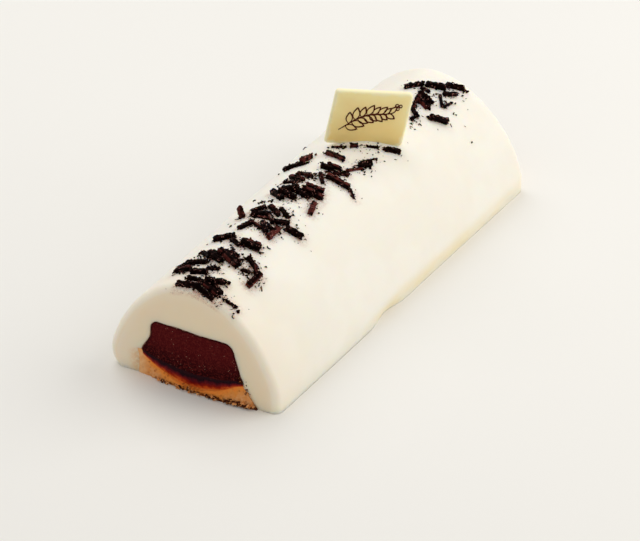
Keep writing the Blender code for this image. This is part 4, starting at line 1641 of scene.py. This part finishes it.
@dataclass
class Plaque:
    """White chocolate plaque, standing in the ridge, with a sprig drawn on its face."""

    width: float = 38.6
    height: float = 29.8
    thick: float = 3.2
    foot: tuple[float, float, float] = (2.63, 37.16, 53.6)
    yaw: float = 36.0
    roll: float = -6.9
    skew: float = 5.0
    radii: tuple[float, ...] = (1.8, 2.2, 3.0, 1.6)
    corner_gap: float = 3.2
    edge: float = 1.2
    insets: tuple[float, ...] = (1.8, 2.6, 3.6, 5.0, 7.0, 9.5, 12.0)
    finish: WhiteChocolateFinish = WhiteChocolateFinish()
    line: DarkChocolateFinish = DarkChocolateFinish(
        "chocolate line",
        body=(0.075, 0.015, 0.008),
        bloom=(0.130, 0.034, 0.020),
        frost_and_glint=(0.15, 0.04, 0.024),
        rough=0.45,
    )
    # across and deep of the points round a drawn line, and the lines' widths
    strand: tuple[Place, ...] = (
        (-1.0, 0.15),
        (-0.85, -0.12),
        (0.0, -0.24),
        (0.85, -0.12),
        (1.0, 0.15),
    )
    stem_line: float = 1.00
    leaf_line: float = 0.78
    berry_line: float = 0.74
    berries: tuple[Place, ...] = ((1.3, 0.1), (2.4, 1.7), (0.6, 2.0))
    berry: float = 0.75
    # cut end and tip, pairs of leaves, and length of the longest leaf of the spray
    sprays: tuple[tuple[Place, Place, int, float], ...] = (
        ((-13.8, 9.2), (11.5, 21.0), 8, 7.4),
    )

    @property
    def place(self) -> Matrix:
        """Where the slab stands, in mm."""
        turn = Euler((0.0, math.radians(-self.roll), math.radians(self.yaw)), "XYZ")
        return Matrix.Translation(self.foot) @ turn.to_matrix().to_4x4()

    def slant(self, u: float, v: float) -> Place:
        """A place on the face, drawn over by the slant of the slab."""
        return u + math.tan(math.radians(self.skew)) * v, v

    def outline(self, inward: float) -> list[Place]:
        """The outline of the face, drawn in by this much."""
        w, low, high = self.width / 2 - inward, inward, self.height - inward
        gap = self.corner_gap
        # each corner, where its arc starts, and both ends of the straight after it
        corners = (
            (-w, low, 180, (gap - w, low), (w - gap, low)),
            (w, low, 270, (w, low + gap), (w, high - gap)),
            (w, high, 0, (w - gap, high), (gap - w, high)),
            (-w, high, 90, (-w, high - gap), (-w, low + gap)),
        )
        found = []
        for (u, v, start, first, last), radius in zip(corners, self.radii):
            radius = max(radius - inward, 0.4)
            cu = u + (radius if u < 0 else -radius)
            cv = v + (radius if v == low else -radius)
            for i in range(9):
                turn = math.radians(start + 90 * i / 8)
                found.append((cu + radius * math.cos(turn), cv + radius * math.sin(turn)))
            found += [partway(first, last, i / 11) for i in range(1, 11)]
        return [self.slant(u, v) for u, v in found]

    def slab(self) -> bpy.types.Object:
        """The slab with soft rims."""
        shell = Shell()
        turns = [math.radians(90 * i / 5) for i in range(6)]
        rim = [(self.edge * (1 - math.sin(a)), self.edge * (1 - math.cos(a))) for a in turns]
        rings = [(d, 0.0) for d in reversed(self.insets)] + rim
        rings += [(deep, self.thick - inward) for inward, deep in rim]
        rings += [(d, self.thick) for d in self.insets]
        last: list[int] = []
        for inward, deep in rings:
            row = []
            for u, v in self.outline(inward):
                swell = 0.10 * lumps(Vector((u, deep * 3, v)), 9.0) * (inward > self.edge)
                here = self.place @ Vector((u, deep + swell, v))
                # high rises up the face for the painted light towards the top
                row.append(shell.point(here, inward=inward, high=ease(-2.0, 24.0, v)))
            if last:
                shell.strip(last, row, closed=True)
            else:
                shell.faces.append(tuple(row))
            last = row
        shell.faces.append(tuple(last))
        made = shell.piece("plaque_slab", 40.0)
        dress(made, self.finish.make(), "plaque", "plaque")
        return made

    def stroke(self, shell: Shell, path: Sequence[Place], wide: float) -> None:
        """A raised line of chocolate along a path on the face.

        Args:
            shell: what it goes into.
            path: the places that it runs through.
            wide: its width in the middle; it thins to its ends.
        """
        rows = []
        for k, (u, v) in enumerate(path):
            before, after = path[max(k - 1, 0)], path[min(k + 1, len(path) - 1)]
            run = math.dist(before, after) or 1.0
            nu, nv = -(after[1] - before[1]) / run, (after[0] - before[0]) / run
            half = wide / 2 * taper(k / (len(path) - 1), 0.06)
            row = []
            for side, deep in self.strand:
                su, sv = self.slant(u + nu * half * side, v + nv * half * side)
                row.append(shell.point(self.place @ Vector((su, deep, sv))))
            rows.append(row)
        for a, b in zip(rows, rows[1:]):
            shell.strip(a, b, closed=True)
        shell.faces.append(tuple(rows[0]))
        shell.faces.append(tuple(rows[-1]))

    def spray(self, shell: Shell, start: Place, end: Place, pairs: int, long: float) -> None:
        """One stem with pairs of leaves and berries at its tip.

        Args:
            shell: what it goes into.
            start: its cut end on the face.
            end: its tip.
            pairs: how many pairs of leaves it bears.
            long: the length of its longest leaves.
        """
        reach = math.dist(start, end)

        def stem(t: float) -> Vector:
            """A place along the stem, 0 at its cut end."""
            sway = 0.07 * reach * math.sin(5.2 * t - 0.6)
            u, v = partway(start, end, t)
            return Vector((u, v + sway))

        self.stroke(shell, [tuple(stem(i / 30)) for i in range(31)], self.stem_line)
        for number in range(pairs):
            t = between(0.14, 0.88, number / (pairs - 1))
            for side in (-1, 1):
                root = stem(t + 0.03 * side)
                run = (stem(t + 0.05) - stem(t)).normalized()
                turn = math.radians(side * between(58, 38, t))
                c, s = math.cos(turn), math.sin(turn)
                way = Vector((run.x * c - run.y * s, run.x * s + run.y * c))
                size = long * between(1.0, 0.62, t) * (1.0 if number % 2 else 0.88)
                aside = Vector((-way.y, way.x))
                leaf = []
                for i in range(25):
                    out = i / 12 if i <= 12 else 2 - i / 12
                    bow = math.sin(math.pi * out**0.85) * 0.25 * size * (1 if i <= 12 else -1)
                    leaf.append(tuple(root + way * (size * out + 0.2) + aside * bow))
                self.stroke(shell, leaf, self.leaf_line)
        for du, dv in self.berries:
            u, v = end[0] + du, end[1] + dv
            turns = [i * math.pi / 6 for i in range(14)]
            ring = [(u + self.berry * math.cos(a), v + self.berry * math.sin(a)) for a in turns]
            self.stroke(shell, ring, self.berry_line)

    def sprig(self) -> bpy.types.Object:
        """A leafy sprig with berries, drawn in thin lines."""
        shell = Shell()
        for start, end, pairs, long in self.sprays:
            self.spray(shell, start, end, pairs, long)
        made = shell.piece("plaque_sprig", 50.0)
        dress(made, self.line.make(), "plaque", "plaque")
        return made

    def build(self) -> None:
        """Makes the slab and the sprig."""
        self.slab()
        self.sprig()


# --------------------------------------------------------------------------
# Floor, light and camera


@dataclass
class Studio:
    """Plain pale floor, soft light and the camera."""

    floor_half: float = 6000.0
    floor_drop: float = 0.03
    eye: Rgb = (0.935998, -1.619752, 1.162257)
    right: Rgb = (0.86622, 0.49966, -0.00138)
    up: Rgb = (-0.26256, 0.45751, 0.84956)
    ahead: Rgb = (-0.42512, 0.73554, -0.52750)
    focal_pixels: float = 4501.0
    frame_pixels: float = 640.0
    sensor: float = 36.0
    sky: Rgb = (0.590, 0.582, 0.568)
    # place, width, power and colour of each soft light
    lamps: tuple[tuple[str, Rgb, float, float, Rgb], ...] = (
        ("key", (0.84, 0.60, 0.74), 1.25, 7.5, (1.0, 0.985, 0.955)),
        ("overhead", (-0.85, 0.45, 1.35), 1.50, 9.8, (1.0, 0.995, 0.985)),
    )

    def floor(self, finish: FloorFinish) -> None:
        """A wide flat floor just under the log."""
        shell, steps = Shell(), 12
        rows = []
        for j in range(steps + 1):
            row = []
            for i in range(steps + 1):
                x = between(-self.floor_half, self.floor_half, i / steps)
                y = between(-self.floor_half, self.floor_half, j / steps)
                row.append(shell.point(Vector((x, y, -self.floor_drop))))
            rows.append(row)
        for a, b in zip(rows, rows[1:]):
            shell.strip(a, b)
        made = shell.piece("floor")
        made.data.materials.append(finish.make())

    def light(self) -> None:
        """A large soft light from the right and behind, and an even pale sky."""
        world = bpy.data.worlds.new("sky")
        bpy.context.scene.world = world
        world.use_nodes = True
        sky = world.node_tree.nodes["Background"].inputs
        sky["Color"].default_value, sky["Strength"].default_value = (*self.sky, 1.0), 1.0
        for name, place, wide, power, colour in self.lamps:
            lamp = bpy.data.lights.new(name, "AREA")
            lamp.shape = "DISK"
            lamp.size = wide
            lamp.energy = power
            lamp.color = colour
            hung = placed(name, lamp)
            hung.location = place
            hung.rotation_mode = "QUATERNION"
            hung.rotation_quaternion = (-Vector(place)).to_track_quat("-Z", "Y")

    def camera(self) -> None:
        """The camera, set by its own axes."""
        lens = bpy.data.cameras.new("camera")
        lens.sensor_fit = "HORIZONTAL"
        lens.sensor_width = self.sensor
        lens.lens = self.focal_pixels / self.frame_pixels * self.sensor
        lens.clip_start, lens.clip_end = 0.1, 20.0
        made = placed("camera", lens)
        axes = Matrix([self.right, self.up, [-c for c in self.ahead]]).transposed()
        made.matrix_world = Matrix.Translation(self.eye) @ axes.to_4x4()
        bpy.context.scene.camera = made

    def build(self) -> None:
        """Sets up floor, light, camera and plain colour."""
        self.floor(FloorFinish())
        self.light()
        self.camera()
        bpy.context.scene.view_settings.view_transform = "Standard"
        bpy.context.scene.view_settings.look = "None"


def main() -> None:
    """Builds every piece in order."""
    logging.basicConfig(level=logging.INFO, format="%(name)s: %(message)s")
    shape, inside = LogShape(), Inside()
    Studio().build()
    batons = Batons(shape)
    IceCreamLog(shape, inside, batons=batons.lay()).build()
    Filling(shape, inside).build()
    SpongeCrumbs(shape, inside).build()
    batons.build()
    Crumbs(shape, batons.laid).build()
    Plaque().build()
    bpy.context.view_layer.update()


if __name__ == "__main__":
    main()
